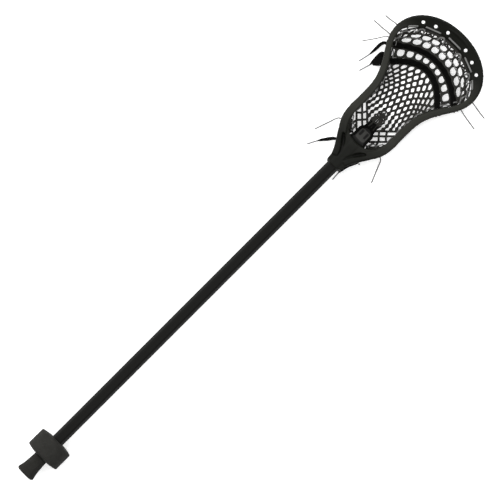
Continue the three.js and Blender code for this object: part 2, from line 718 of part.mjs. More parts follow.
add('shaft', shaft(), ALLOY);
add('end_cap', endCap(), RUBBER);
add('grip_ring', gripRing(), RING_RUBBER);
add('head_frame', headFrame(), NYLON);
add('head_screw', headScrew(), STEEL);
add('ball_stop', ballStop(), FOAM);
add('mesh_pocket', netPocket(), NET);
add('mesh_hem', meshHem(), NET);
add('upper_shooting_lace', shootingBand(921, 0.95), LACE);
add('lower_shooting_lace', shootingBand(899, 0.94), LACE);
add('nylon_shooter', netString(acrossNet(934, 0.93, 16), THIN_STRING_R), CORD);
add('top_string', netString(acrossNet(943.4, 0.9, 18), STRING_R), CORD);
add('sidewall_string_left', netString(alongNet(-0.86, 800, 884, 12), STRING_R), CORD);
add('sidewall_string_right', netString(alongNet(0.86, 800, 884, 12), STRING_R), CORD);
add('bottom_lace', tube([...BOTTOM_LACE, ...mirrorX(BOTTOM_LACE).reverse()], LACE_R, 6), LACE);
add('lower_lace_loop', tube(LOWER_LACE_LOOP, LACE_R, 4), LACE);
add('throat_knot', throatKnot(), CORD);
for (const [name, route] of Object.entries(STRING_TAILS)) add(name, tube(route, STRING_R, 4.5), CORD);
for (const [name, route] of Object.entries(THIN_TAILS)) add(name, tube(route, THIN_STRING_R, 4), CORD);
for (const [name, route] of Object.entries(LACE_TAILS)) add(name, tube(route, LACE_R, 5), LACE);
for (const [name, route] of Object.entries(LACE_TIPS)) add(name, tube(route, AGLET_R, 5), TIP);

export default stick;
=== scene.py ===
"""Looks of a full-size lacrosse stick that lies face up on a pale floor.

Lengths in this script are in millimetres until a mesh is made. A place is [x, station, z]: x to the right,
station from the butt's tip towards the scoop, z up from the floor.
"""

import math

import bpy
import numpy as np
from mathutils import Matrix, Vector
from mathutils.bvhtree import BVHTree


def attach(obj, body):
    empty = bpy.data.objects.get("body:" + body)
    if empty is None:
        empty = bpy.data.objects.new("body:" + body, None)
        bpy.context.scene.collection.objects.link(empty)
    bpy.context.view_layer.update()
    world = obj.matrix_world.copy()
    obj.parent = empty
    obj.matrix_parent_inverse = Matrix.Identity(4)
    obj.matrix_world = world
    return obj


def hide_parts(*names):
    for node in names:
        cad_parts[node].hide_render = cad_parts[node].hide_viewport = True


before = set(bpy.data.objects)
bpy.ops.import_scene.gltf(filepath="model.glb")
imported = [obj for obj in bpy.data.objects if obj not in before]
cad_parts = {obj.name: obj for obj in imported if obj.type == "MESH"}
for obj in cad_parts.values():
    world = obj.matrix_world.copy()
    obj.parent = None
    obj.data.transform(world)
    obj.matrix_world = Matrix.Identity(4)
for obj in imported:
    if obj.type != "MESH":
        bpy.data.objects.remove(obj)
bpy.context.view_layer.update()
scene = bpy.context.scene

# ------------------------------------------------------------ sizes that the CAD source also states

LENGTH = 1016.0
AXIS_Z = 31.4
SHAFT = {
    "width": 22.1, "depth": 28.6, "flat_x": 12.5, "flat_z": 15.2, "wall": 1.2, "start": 6.0, "end": 762.0,
}
CAP_LENGTH = 38.0
CAP_FLOOR = 5.5
RING = {"radius": 31.4, "start": 38.6, "end": 77.4, "crown": 2.2, "round": 3.0, "shoulder": 22.0}
GAP = 0.3
TONGUE_TOP = (765.0, 45.0)
TONGUE_BOTTOM = (794.0, 15.0)
PAD = {"width": 29.4, "length": 37.0, "thickness": 4.6, "corner": 8.0, "foot": 3.0, "start": 3.6}
HEM = {"station": 809.0, "z": 13.2, "half_width": 10.7, "height": 5.2}
SCREW = {"station": 736.0, "shank": 1.9, "head": 3.8, "head_height": 2.4, "reach": 25.0, "top": 13.3}
STRING_HOLES = (778, 798, 818, 838, 858, 878, 898, 917, 932, 949)
STRING_HOLE_RISE = 3.2
SCOOP_DASHES = ((-12.6, 994.2, 12.6, 994.2), (28.4, 989.6, 51.6, 980.6), (63.2, 971.6, 73.2, 961.4))
NET_THICKNESS = 2.4
STRING_R = 1.0
THIN_STRING_R = 0.8


def metres(points):
    """Places in the shared frame, whose origin is halfway along the stick."""
    return (np.asarray(points, float) - np.array([0, LENGTH / 2, 0])) * 0.001


def profile(rows):
    """A smooth value along the stick through (station, value) rows."""
    at = np.array([row[0] for row in rows], float)
    value = np.array([row[1] for row in rows], float)
    before = np.maximum(np.arange(len(at)) - 1, 0)
    after = np.minimum(np.arange(len(at)) + 1, len(at) - 1)
    slope = (value[after] - value[before]) / (at[after] - at[before])

    def value_at(station):
        s = np.clip(np.asarray(station, float), at[0], at[-1])
        i = np.clip(np.searchsorted(at, s, side="left") - 1, 0, len(at) - 2)
        span = at[i + 1] - at[i]
        t = (s - at[i]) / span
        rise = value[i + 1] - value[i]
        a = slope[i] * span - rise
        b = rise - slope[i + 1] * span
        return value[i] + t * rise + t * (1 - t) * (a * (1 - t) + b * t)

    return value_at


low_z = profile([
    (712, 13.4), (745, 12.5), (775, 10), (810, 8), (880, 7), (925, 9.5), (955, 17), (985, 32), (1016, 53),
])
net_half_width = profile([
    (776, 23.5), (781, 29.3), (787, 34.2), (795, 37.6), (803, 39.2), (830, 39.3), (855, 40.2), (873.5, 44.4),
    (893, 52.4), (912.7, 65), (931, 74.8), (945, 77.4),
])
net_apex = profile([
    (776, 806), (790, 818), (812, 833), (840, 851), (862, 876), (880, 905), (899, 933), (921, 952.7),
    (945, 990.3),
])
net_rim_z = profile([(776, 17), (795, 13.5), (830, 12.5), (873, 12.5), (900, 13.5), (921, 16), (945, 24)])
net_floor_z = profile([
    (776, 11), (783, 5), (792, 1.2), (873, 1.2), (886, 2), (899, 6), (910, 10), (921, 15), (933, 27),
    (945, 45.5),
])
net_steepness = profile([(776, 2.5), (800, 5), (870, 5), (900, 3), (945, 2.6)])
net_bow = profile([(776, 2), (921, 2), (945, 2.6)])
FIRST_ROW, LAST_ROW = 776.0, 945.0


def net_point(row, u):
    """A point on the net: a row is named by its station at the sidewalls, u runs from -1 to 1 across it."""
    row, u = np.broadcast_arrays(np.asarray(row, float), np.asarray(u, float))
    across = np.abs(u)
    apex = net_apex(row)
    station = apex - (apex - row) * across ** net_bow(row)
    floor = net_floor_z(row)
    z = floor + (net_rim_z(row) - floor) * across ** net_steepness(row)
    return np.stack([u * net_half_width(row), station, np.maximum(z, NET_THICKNESS / 2)], axis=-1)


def unit(vectors):
    """Vectors made one long."""
    vectors = np.asarray(vectors, float)
    return vectors / np.maximum(np.linalg.norm(vectors, axis=-1, keepdims=True), 1e-12)


def distances(line):
    """How far along a line each of its points is."""
    return np.concatenate([[0], np.cumsum(np.linalg.norm(np.diff(line, axis=0), axis=1))])


def tangents(line):
    return unit(np.gradient(np.asarray(line, float), axis=0))


def turn(count):
    """Even angles of one whole turn."""
    return 2 * np.pi * np.arange(count) / count


def net_axes(row, u):
    """The directions across, along and out of the net's surface at each point."""
    row, u = np.broadcast_arrays(np.asarray(row, float), np.asarray(u, float))
    right = unit(net_point(row, u + 0.02) - net_point(row, u - 0.02))
    beyond = np.minimum(row + 1, LAST_ROW)
    ahead = unit(net_point(beyond, u) - net_point(beyond - 2, u))
    up = unit(np.cross(right, ahead))
    return right, np.cross(up, right), up


# ------------------------------------------------------------ camera

FRAME_WIDTH = 0.8175
LENS = 600.0
SENSOR = 36.0
LOOKED_AT = (0.0018, 0.0121, 0.03)
eye_data = bpy.data.cameras.new("eye")
eye_data.lens = LENS
eye_data.sensor_width = SENSOR
eye_data.clip_end = 200
eye = bpy.data.objects.new("eye", eye_data)
eye.location = Vector(LOOKED_AT) + Vector((0, 0, FRAME_WIDTH * LENS / SENSOR))
eye.rotation_euler = (0, 0, math.radians(45))
scene.collection.objects.link(eye)
scene.camera = eye

# ------------------------------------------------------------ mesh helpers


def oval_rings(centre, side, up, wide, high, sides, power=1.0):
    """Oval rings of points round places. A power below 1 squares the ovals off."""
    angle = turn(sides)
    cos, sin = [np.sign(wave) * np.abs(wave) ** power for wave in (np.cos(angle), np.sin(angle))]
    across = side[:, None] * np.asarray(wide)[..., None, None] * cos[:, None]
    return centre[:, None] + across + up[:, None] * np.asarray(high)[..., None, None] * sin[:, None]


class Surface:
    """Points, faces and UVs of one piece, gathered from its parts."""

    def __init__(self):
        self.points = []
        self.count = 0
        self.faces = []
        self.uvs = []

    def grid(self, rings, u, v, wrapped=False):
        """Quads between rings of points, which run anticlockwise as seen from the last ring.

        A wrapped grid also joins its last ring to its first, so v has one more value than there are rings.
        """
        rings = np.asarray(rings, float)
        n, m, _ = rings.shape
        r, i = np.meshgrid(np.arange(n if wrapped else n - 1), np.arange(m), indexing="ij")
        r, i = r.ravel(), i.ravel()
        here, ahead, j = r * m, (r + 1) % n * m, (i + 1) % m
        base = self.count
        quads = np.stack([here + i, here + j, ahead + j, ahead + i], axis=1) + base
        u, v = np.asarray(u, float), np.asarray(v, float)
        ends = ((0, 0), (1, 0), (1, 1), (0, 1))
        corners = [np.stack([u[i + across], v[r + along]], 1) for across, along in ends]
        self.points.append(rings.reshape(-1, 3))
        self.count += n * m
        self.faces += quads.tolist()
        self.uvs.append(np.stack(corners, axis=1).reshape(-1, 2))
        return base

    def closed_grid(self, rings, u, v):
        """A grid with both of its ends covered."""
        n, m = len(rings), len(rings[0])
        base = self.grid(rings, u, v)
        for first, step, height in ((base + m - 1, -1, v[0]), (base + (n - 1) * m, 1, v[-1])):
            self.faces.append([first + step * i for i in range(m)])
            self.uvs.append(np.tile([0.0, height], (m, 1)))

    def sweep(self, line, half_width, half_height=None, side=None, sides=12, power=1.0):
        """A round-ended cord along a line of points. Its section is an oval whose width lies along side."""
        line = np.asarray(line, float)
        count = len(line)
        tangent = tangents(line)
        if side is None:
            side = transported(tangent)
        side = np.broadcast_to(np.asarray(side, float), (count, 3))
        side = unit(side - tangent * (side * tangent).sum(1, keepdims=True))
        wide = np.broadcast_to(np.asarray(half_width, float), (count,))
        high = wide if half_height is None else np.broadcast_to(np.asarray(half_height, float), (count,))
        turns = np.radians([84, 56, 28])
        first = [line[0] - tangent[0] * min(wide[0], high[0]) * math.sin(a) for a in turns]
        last = [line[-1] + tangent[-1] * min(wide[-1], high[-1]) * math.sin(a) for a in turns[::-1]]
        centre = np.concatenate([first, line, last])
        scale = np.concatenate([np.cos(turns), np.ones(count), np.cos(turns[::-1])])
        pick = np.concatenate([[0] * 3, np.arange(count), [count - 1] * 3])
        up = np.cross(tangent, side)
        wide, high = wide[pick] * scale, high[pick] * scale
        rings = oval_rings(centre, side[pick], up[pick], wide, high, sides, power)
        self.closed_grid(rings, np.arange(sides + 1) / sides, distances(centre) * 0.001)

    def closed_sweep(self, line, half_width, half_height=None, side=None, sides=10):
        """A cord that closes on itself, round a loop of points whose last isn't its first."""
        line = np.asarray(line, float)
        tangent = unit(np.roll(line, -1, axis=0) - np.roll(line, 1, axis=0))
        if side is None:
            side = np.cross(line - line.mean(0), tangent).mean(0)
        axis = unit(side)
        side = unit(axis - tangent * (tangent @ axis)[:, None])
        high = half_width if half_height is None else half_height
        rings = oval_rings(line, side, np.cross(tangent, side), half_width, high, sides)
        length = distances(np.concatenate([line, line[:1]])) * 0.001
        self.grid(rings, np.arange(sides + 1) / sides, length, wrapped=True)

    def piece(self, name, material, slot, node, body="stick", sharp=None):
        """Makes the piece, which stands for one node of the CAD model."""
        points = metres(np.concatenate(self.points))
        mesh = bpy.data.meshes.new(name)
        mesh.from_pydata(points.tolist(), [], self.faces)
        mesh.uv_layers.new(name="UVMap").data.foreach_set("uv", np.concatenate(self.uvs).ravel())
        return finished(mesh, material, node, body, sharp)


def finished(mesh, material, node, body="stick", sharp=None):
    """A mesh as a piece that rides on its body. Edges steeper than sharp degrees stay hard."""
    mesh.materials.clear()
    mesh.materials.append(material)
    mesh.shade_smooth()
    if sharp is not None:
        mesh.set_sharp_from_angle(angle=math.radians(sharp))
    made = bpy.data.objects.new(mesh.name, mesh)
    scene.collection.objects.link(made)
    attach(made, body)
    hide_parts(node)
    return made


def transported(tangent):
    """A direction square to a line's tangent at each point that turns as little as it can."""
    start = np.cross(tangent[0], [0, 0, 1.0])
    if np.linalg.norm(start) < 1e-3:
        start = np.array([1.0, 0, 0])
    out = [unit(start)]
    for t in tangent[1:]:
        out.append(unit(out[-1] - t * (out[-1] @ t)))
    return np.array(out)


def through(points, step=1.0):
    """A smooth line through points, as the CAD source's curve, in steps of about the given length."""
    p = np.asarray(points, float)
    p = np.concatenate([[2 * p[0] - p[1]], p, [2 * p[-1] - p[-2]]])
    gap = np.sqrt(np.linalg.norm(np.diff(p, axis=0), axis=1))
    fine = []
    for i in range(1, len(p) - 2):
        d0, d1, d2 = gap[i - 1], gap[i], gap[i + 1]
        a, b, c, d = p[i - 1: i + 3]
        t1 = ((b - a) / d0 - (c - a) / (d0 + d1) + (c - b) / d1) * d1
        t2 = ((c - b) / d1 - (d - b) / (d1 + d2) + (d - c) / d2) * d1
        t = np.arange(40)[:, None] / 40
        fine.append(b + t1 * t + (3 * (c - b) - 2 * t1 - t2) * t ** 2 + (2 * (b - c) + t1 + t2) * t ** 3)
    fine = np.concatenate([*fine, p[-2][None]])
    return resampled(fine, step)


def loop_through(points, steps=6):
    """A smooth closed line through points; its last point isn't its first."""
    p = np.asarray(points, float)
    before, ahead, beyond = np.roll(p, 1, 0), np.roll(p, -1, 0), np.roll(p, -2, 0)
    t = (np.arange(steps) / steps)[None, :, None]
    a, b, c, d = before[:, None], p[:, None], ahead[:, None], beyond[:, None]
    line = b + 0.5 * t * ((c - a) + t * (2 * a - 5 * b + 4 * c - d + t * (3 * (b - c) + d - a)))
    return line.reshape(-1, 3)


def resampled(line, step):
    """The same line with its points at even steps of about the given length."""
    length = distances(line)
    at = np.linspace(0, length[-1], max(4, int(round(length[-1] / step)) + 1))
    return np.stack([np.interp(at, length, line[:, k]) for k in range(3)], axis=1)


# ------------------------------------------------------------ materials


class Paint:
    """A material built from nodes around one shader."""

    def __init__(self, name, specular=0.5, metallic=0.0):
        self.material = bpy.data.materials.new(name)
        self.material.use_nodes = True
        self.tree = self.material.node_tree
        self.shader = self.tree.nodes["Principled BSDF"]
        self.shader.inputs["Specular IOR Level"].default_value = specular
        self.shader.inputs["Metallic"].default_value = metallic
        self.where = self.tree.nodes.new("ShaderNodeTexCoord")

    def node(self, kind, inputs=None, **settings):
        made = self.tree.nodes.new(kind)
        for key, value in settings.items():
            setattr(made, key, value)
        for key, value in (inputs or {}).items():
            self.join(made.inputs[key], value)
        return made

    def join(self, socket, value):
        if isinstance(value, bpy.types.NodeSocket):
            self.tree.links.new(value, socket)
        else:
            socket.default_value = value

    def math(self, operation, a, b=0.0, c=0.0):
        made = self.node("ShaderNodeMath", operation=operation)
        for socket, value in zip(made.inputs, (a, b, c)):
            self.join(socket, value)
        return made.outputs[0]

    def times(self, a, b):
        return self.math("MULTIPLY", a, b)

    def noise(self, size, detail=3.0, roughness=0.55, stretch=(1, 1, 1)):
        """Noise whose features are about size millimetres across."""
        scale = tuple(1000.0 / (size * s) for s in stretch)
        placed = self.node("ShaderNodeMapping", {"Vector": self.where.outputs["Object"], "Scale": scale})
        made = self.node("ShaderNodeTexNoise", {
            "Vector": placed.outputs[0], "Scale": 1.0, "Detail": detail, "Roughness": roughness,
        })
        return made.outputs["Fac"]

    def blend(self, share, a, b):
        """The color a, or as much of the color b as the share says."""
        made = self.node("ShaderNodeMix", data_type="RGBA")
        for place, value in ((0, share), (6, a), (7, b)):
            self.join(made.inputs[place], (*value, 1.0) if isinstance(value, tuple) else value)
        return made.outputs[2]

    def between(self, value, low, high, from_low=0.0, from_high=1.0):
        """Runs from low to high while the value runs from from_low to from_high."""
        made = self.node("ShaderNodeMapRange", {
            "Value": value, "From Min": from_low, "From Max": from_high, "To Min": low, "To Max": high,
        })
        return made.outputs["Result"]

    def bump(self, height, depth, strength=1.0, under=None):
        """Relief of a height from 0 to 1, depth millimetres deep."""
        made = self.node("ShaderNodeBump", {
            "Height": height, "Distance": depth * 0.001, "Strength": strength,
        })
        if under is not None:
            self.join(made.inputs["Normal"], under)
        return made.outputs["Normal"]

    def weave(self, columns, pitch):
        """Slanted yarns in columns round a cord, from the cord's own UVs: 0 in the gaps, 1 on the yarns."""
        uv = self.node("ShaderNodeSeparateXYZ", {"Vector": self.where.outputs["UV"]})
        across = self.times(uv.outputs[0], float(columns))
        fold = self.math("PINGPONG", across, 1.0)
        along = self.math("DIVIDE", uv.outputs[1], pitch * 0.001)
        phase = self.math("ADD", along, fold)
        yarn = self.math("ABSOLUTE", self.math("SINE", self.times(phase, math.pi)))
        edge = self.math("ABSOLUTE", self.math("SUBTRACT", fold, 0.5))
        column = self.math("SUBTRACT", 1.0, self.times(edge, 1.1))
        return self.times(self.math("POWER", yarn, 0.6), column)

    def finish(self, color, roughness, normal=None):
        self.join(self.shader.inputs["Base Color"], color)
        self.join(self.shader.inputs["Roughness"], roughness)
        if normal is not None:
            self.join(self.shader.inputs["Normal"], normal)
        return self.material


def grey(value, warm=0.0):
    """A grey, turned a little from blue to yellow."""
    return (value * (1 + warm), value * (1 + warm * 0.6), value * (1 - warm * 1.6))


def moulded_nylon():
    paint = Paint("moulded_nylon", specular=0.08)
    cloud = paint.noise(35, 3)
    grain = paint.noise(0.55, 2)
    scuff = paint.noise(5, 4, 0.7, (1, 3, 1))
    color = paint.blend(cloud, (0.0040, 0.0043, 0.0032), (0.0066, 0.0070, 0.0053))
    # painted highlight: the two rails are painted a paler olive grey than the scoop and the throat
    place = paint.node("ShaderNodeSeparateXYZ", {"Vector": paint.where.outputs["Object"]})
    along = place.outputs[1]
    rails = paint.times(paint.between(along, 0, 1, 0.245, 0.30), paint.between(along, 1, 0, 0.43, 0.47))
    pale = paint.blend(cloud, (0.0175, 0.0178, 0.0145), (0.0235, 0.0238, 0.0200))
    color = paint.blend(rails, color, pale)
    edge = paint.node("ShaderNodeNewGeometry").outputs["Pointiness"]
    # painted shade: hollows and grooves, where the pointiness is low, are darkened almost to black
    color = paint.blend(paint.between(edge, 0, 0.9, 0.492, 0.45), color, (0.0015, 0.0016, 0.0012))
    worn = paint.times(paint.between(edge, 0, 1, 0.53, 0.62), paint.between(scuff, 0.2, 1.0, 0.35, 0.65))
    color = paint.blend(worn, color, (0.026, 0.027, 0.022))
    rough = paint.math("ADD", paint.between(grain, 0.40, 0.54), paint.between(scuff, -0.05, 0.08, 0.3, 0.7))
    normal = paint.bump(grain, 0.035, 0.7)
    normal = paint.bump(paint.noise(9, 2), 0.10, 0.5, normal)
    return paint.finish(color, rough, normal)


def anodised_alloy():
    paint = Paint("anodised_alloy", specular=0.08)
    sandy = paint.noise(0.35, 2)
    drawn = paint.noise(0.5, 3, 0.6, (1, 60, 1))
    wide = paint.noise(45, 3, 0.5, (1, 2, 1))
    color = paint.blend(wide, (0.0018, 0.0019, 0.0014), (0.0034, 0.0035, 0.0027))
    edge = paint.node("ShaderNodeNewGeometry").outputs["Pointiness"]
    rubbed = paint.times(paint.between(edge, 0, 1, 0.52, 0.60), paint.between(wide, 0.0, 1.0, 0.4, 0.65))
    color = paint.blend(rubbed, color, (0.014, 0.014, 0.0125))
    scratch = paint.between(drawn, 0, 1, 0.70, 0.74)
    color = paint.blend(paint.times(scratch, 0.35), color, (0.016, 0.016, 0.015))
    rough = paint.math("ADD", paint.between(sandy, 0.33, 0.47), paint.between(wide, -0.04, 0.05, 0.3, 0.7))
    normal = paint.bump(sandy, 0.014, 0.8)
    normal = paint.bump(drawn, 0.01, 0.5, normal)
    return paint.finish(color, rough, normal)


def rubber(name, dark, light, warm, grain_size, depth):
    paint = Paint(name, specular=0.04)
    cloud = paint.noise(14, 4, 0.6)
    grain = paint.noise(grain_size, 3, 0.6)
    dust = paint.noise(3.2, 5, 0.7)
    color = paint.blend(cloud, grey(dark, warm), grey(light, warm))
    dusty = paint.times(paint.between(dust, 0, 1, 0.55, 0.78), 0.35)
    color = paint.blend(dusty, color, grey(light * 2.0, warm * 0.5))
    rough = paint.between(grain, 0.60, 0.82)
    normal = paint.bump(grain, depth, 0.8)
    normal = paint.bump(cloud, depth * 3, 0.3, normal)
    return paint.finish(color, rough, normal)


def foam():
    paint = Paint("closed_cell_foam", specular=0.25)
    cells = paint.node("ShaderNodeTexVoronoi", {
        "Vector": paint.where.outputs["Object"], "Scale": 1400.0,
    }, feature="F1").outputs["Distance"]
    cloud = paint.noise(8, 3)
    color = paint.blend(cloud, grey(0.0035, 0.03), grey(0.0070, 0.03))
    raised = paint.node("ShaderNodeAttribute", attribute_name="relief").outputs["Fac"]
    color = paint.blend(paint.times(raised, 0.9), color, grey(0.042, 0.03))
    normal = paint.bump(cells, 0.10, 0.7)
    normal = paint.bump(cloud, 0.25, 0.4, normal)
    return paint.finish(color, paint.between(cells, 0.92, 0.72), normal)


def woven(name, dark, light, warm, columns, pitch, depth, specular=0.2, roughness=(0.72, 0.92)):
    """Woven cord: columns of yarns round it, which lie pitch millimetres apart along it."""
    paint = Paint(name, specular=specular)
    yarn = paint.weave(columns, pitch)
    fuzz = paint.noise(0.25, 3, 0.7)
    cloud = paint.noise(11, 3)
    color = paint.blend(yarn, grey(dark * 0.45, warm), grey(light, warm))
    color = paint.blend(paint.times(cloud, 0.5), color, grey(dark, warm))
    color = paint.blend(paint.between(fuzz, 0, 0.35, 0.5, 0.8), color, grey(light * 1.8, warm))
    normal = paint.bump(yarn, depth, 0.9)
    normal = paint.bump(fuzz, depth * 0.25, 0.6, normal)
    return paint.finish(color, paint.between(yarn, roughness[1], roughness[0]), normal)


def tip_plastic():
    paint = Paint("tip_plastic", specular=0.5)
    cloud = paint.noise(1.6, 3)
    wrap = paint.weave(2, 4.0)
    color = paint.blend(cloud, (0.105, 0.105, 0.108), (0.185, 0.185, 0.190))
    normal = paint.bump(wrap, 0.05, 0.4)
    normal = paint.bump(paint.noise(0.4, 2), 0.02, 0.5, normal)
    return paint.finish(color, paint.between(cloud, 0.22, 0.40), normal)


def dark_steel():
    paint = Paint("dark_steel", specular=0.5, metallic=1.0)
    turned = paint.noise(0.25, 3)
    stain = paint.noise(1.5, 4, 0.65)
    color = paint.blend(stain, (0.10, 0.10, 0.098), (0.30, 0.30, 0.29))
    normal = paint.bump(turned, 0.012, 0.8)
    return paint.finish(color, paint.between(stain, 0.28, 0.5), normal)


def floor_paint():
    paint = Paint("studio_floor", specular=0.0)
    cloud = paint.noise(260, 2)
    color = paint.blend(cloud, (0.925, 0.925, 0.922), (0.935, 0.935, 0.932))
    paint.shader.inputs["Emission Color"].default_value = (1, 1, 1, 1)
    paint.shader.inputs["Emission Strength"].default_value = 0.45
    return paint.finish(color, 1.0)


NYLON = moulded_nylon()
ALLOY = anodised_alloy()
CAP_RUBBER = rubber("cap_rubber", 0.0120, 0.0235, 0.05, 0.5, 0.09)
RING_RUBBER = rubber("ring_rubber", 0.0150, 0.0285, 0.04, 0.7, 0.10)
FOAM = foam()
NET_CORD = woven("net_cord", 0.015, 0.027, 0.06, 6, 1.5, 0.16)
STRING = woven("nylon_string", 0.115, 0.215, 0.01, 6, 1.1, 0.05, specular=0.3, roughness=(0.42, 0.6))
LACE = woven("lace_weave", 0.0015, 0.0032, 0.05, 10, 1.3, 0.14, specular=0.05)
TIP = tip_plastic()
STEEL = dark_steel()

# ------------------------------------------------------------ free ends of the strings and laces


def lying(line):
    """The level direction across a line, for the width of a flat lace."""
    return unit(np.cross(tangents(line), [0, 0, 1.0]) + [1e-6, 0, 0])


# The same points as in the CAD source.

STRING_TAILS = {
    "top_string_tail_left": [
        (-88.9, 951, 18.9), (-92.5, 951, 17.9), (-96.2, 950.6, 12.6), (-99, 950.2, 5.7), (-103, 949.8, 1.9),
        (-107.5, 949.4, 1.1), (-112.5, 949, 1.1),
    ],
    "shooter_tail_left": [
        (-86.3, 932, 14), (-90, 931.9, 13.2), (-94.5, 931.6, 8.8), (-98.5, 931.2, 3.3), (-103, 930.9, 1.6),
        (-109, 930.6, 1.1), (-120, 930, 1.1),
    ],
    "top_string_tail_right": [
        (88.9, 948, 17.8), (92.5, 947.6, 17), (96.3, 947.1, 12.3), (99.4, 946.7, 5.8), (103.2, 946.2, 1.9),
        (108.6, 945.4, 1.1), (120.3, 944, 1.1),
    ],
    "shooter_tail_right": [
        (84.3, 926.2, 13.2), (87.8, 925.4, 12.5), (91.6, 924.5, 8.5), (95, 923.9, 3.4), (99.4, 923.2, 1.7),
        (106, 922.2, 1.1), (121, 920, 1.1),
    ],
    "sidewall_tail_left": [
        (-45.5, 777.5, 13.2), (-48.6, 775.4, 12.6), (-51.2, 771, 8.8), (-53, 766, 3.8), (-54.7, 761, 1.8),
        (-57, 754.4, 1.1), (-63.2, 736.2, 1.1),
    ],
    "sidewall_tail_right": [
        (45.5, 777.7, 13.2), (48.6, 775.6, 12.6), (51.3, 771.2, 8.8), (53.2, 766.4, 3.8), (55.1, 761.8, 1.8),
        (57.6, 755.6, 1.1), (64.6, 739, 1.1),
    ],
}
THIN_TAILS = {
    "sidewall_upper_tail_left": [
        (-84.8, 927.3, 13), (-88.2, 925, 12.2), (-91.5, 920.5, 7.6), (-94.5, 915.8, 2.8),
        (-97.8, 910.6, 1.3), (-102, 904.6, 0.9), (-110.4, 892.6, 0.9),
    ],
}
LACE_TAILS = {
    "upper_lace_tail": [
        (-80, 917.3, 13.5), (-83, 914.9, 12.7), (-85.2, 909.6, 8.8), (-85.6, 903.5, 4.6), (-85.7, 897, 2.7),
        (-86.4, 887, 2.5),
    ],
    "lower_lace_tail": [
        (-70.8, 902.6, 13), (-73.4, 900.6, 12.2), (-74.4, 895.5, 8.4), (-74.5, 889.5, 4.2),
        (-74.3, 882.5, 2.7), (-74, 874.6, 2.5),
    ],
    "bottom_lace_tail_left": [
        (-28, 748, 17), (-31.2, 745.4, 16.2), (-34.6, 741.2, 11.6), (-37.6, 737.4, 6.2), (-41, 733.2, 2.9),
        (-46, 726.2, 2.4),
    ],
    "bottom_lace_tail_right": [
        (24.6, 746.8, 11.8), (24.2, 745.4, 8.6), (22.6, 741.8, 4.8), (20, 736.4, 2.7), (17.2, 729.5, 2.4),
        (14.8, 713, 2.4),
    ],
}
LACE_TIPS = {
    "upper_lace_tip": [(-86.5, 886.2, 2.2), (-88.4, 877, 1.3), (-91, 866, 1.2)],
    "lower_lace_tip": [(-74.1, 873.9, 2.2), (-76.6, 865, 1.3), (-79.6, 855.2, 1.2)],
    "bottom_lace_tip_left": [(-46.5, 725.6, 2.2), (-50.4, 718.2, 1.3), (-55, 709.4, 1.2)],
    "bottom_lace_tip_right": [(14.8, 712.2, 2.2), (15.2, 705.5, 1.3), (15.8, 697.8, 1.2)],
}
LOWER_LACE_LOOP = [
    (-62.2, 886.2, 12.5), (-64, 884.2, 11), (-66.9, 881.4, 6.6), (-69, 882, 3.8), (-69.2, 886.4, 4.6),
    (-68.8, 891.4, 9), (-67.7, 894.6, 12.3),
]


def free_string(name, route, radius):
    """The loose end of a string."""
    line = through(route, 1.0)
    surface = Surface()
    surface.sweep(line, radius, sides=14)
    piece = surface.piece(name + "_cord", STRING, "nylon_string", name)


def lace_tip(name, route):
    """The hard tip on a lace's end, with a rolled collar where the lace goes in."""
    line = through(route, 0.6)
    share = np.linspace(0, 1, len(line))
    radius = np.interp(share, [0, 0.06, 0.1, 0.9, 1], [1.28, 1.28, 1.1, 1.02, 0.86])
    surface = Surface()
    surface.sweep(line, radius, sides=18)
    return surface.piece(name + "_sleeve", TIP, "lace_tip", name)


def free_lace(name, route, tip):
    """A flat woven lace, flat where it lies on the floor, that narrows into its tip."""
    line = through(route, 0.8)
    share = np.linspace(0, 1, len(line))
    wide = np.interp(share, [0, 0.15, 0.55, 0.85, 1], [2.5, 2.9, 2.9, 2.2, 1.3])
    high = np.interp(share, [0, 0.15, 0.55, 0.85, 1], [1.9, 1.5, 1.35, 1.3, 1.15])
    surface = Surface()
    surface.sweep(line, wide, high, side=lying(line), sides=22, power=0.8)
    piece = surface.piece(name + "_cord", LACE, "lace_fabric", name)


for tail, route in STRING_TAILS.items():
    free_string(tail, route, STRING_R)
for tail, route in THIN_TAILS.items():
    free_string(tail, route, THIN_STRING_R)
for (tail, route), (tip, tip_route) in zip(LACE_TAILS.items(), LACE_TIPS.items()):
    free_lace(tail, route, lace_tip(tip, tip_route))

# ------------------------------------------------------------ shaft, end cap, ring and screw

CAP_CORNER = 2.6


def octagon_ring(margin, station, corner=1.6, steps=5):
    """The shaft's section grown by a margin, its corners rounded, as points at a station."""
    x, z = SHAFT["width"] / 2 + margin, SHAFT["depth"] / 2 + margin
    flat_x, flat_z = SHAFT["flat_x"] / 2 + margin * 0.45, SHAFT["flat_z"] / 2 + margin * 0.4
    corners = np.array([
        (x, -flat_z), (x, flat_z), (flat_x, z), (-flat_x, z), (-x, flat_z), (-x, -flat_z), (-flat_x, -z),
        (flat_x, -z),
    ])
    ring = []
    t = np.linspace(0, 1, steps + 1)[:, None]
    for i, here in enumerate(corners):
        start = here + unit(corners[i - 1] - here) * corner
        end = here + unit(corners[(i + 1) % 8] - here) * corner
        ring.append(start * (1 - t) ** 2 + here * 2 * t * (1 - t) + end * t ** 2)
    ring = np.concatenate(ring)
    return np.stack([-ring[:, 0], np.full(len(ring), float(station)), AXIS_Z + ring[:, 1]], axis=1)


def shell(rings):
    """A closed skin through rings that come back to the first one."""
    surface = Surface()
    rings = np.asarray([*rings, rings[0]])
    surface.grid(rings, np.linspace(0, 1, rings.shape[1] + 1), distances(rings.mean(1)) * 0.001)
    return surface


def weighted(piece):
    """Flat faces stay flat in the shading, and only the narrow rounded corners turn."""
    modifier = piece.modifiers.new("flat_shading", "WEIGHTED_NORMAL")
    modifier.keep_sharp = True
    modifier.weight = 100


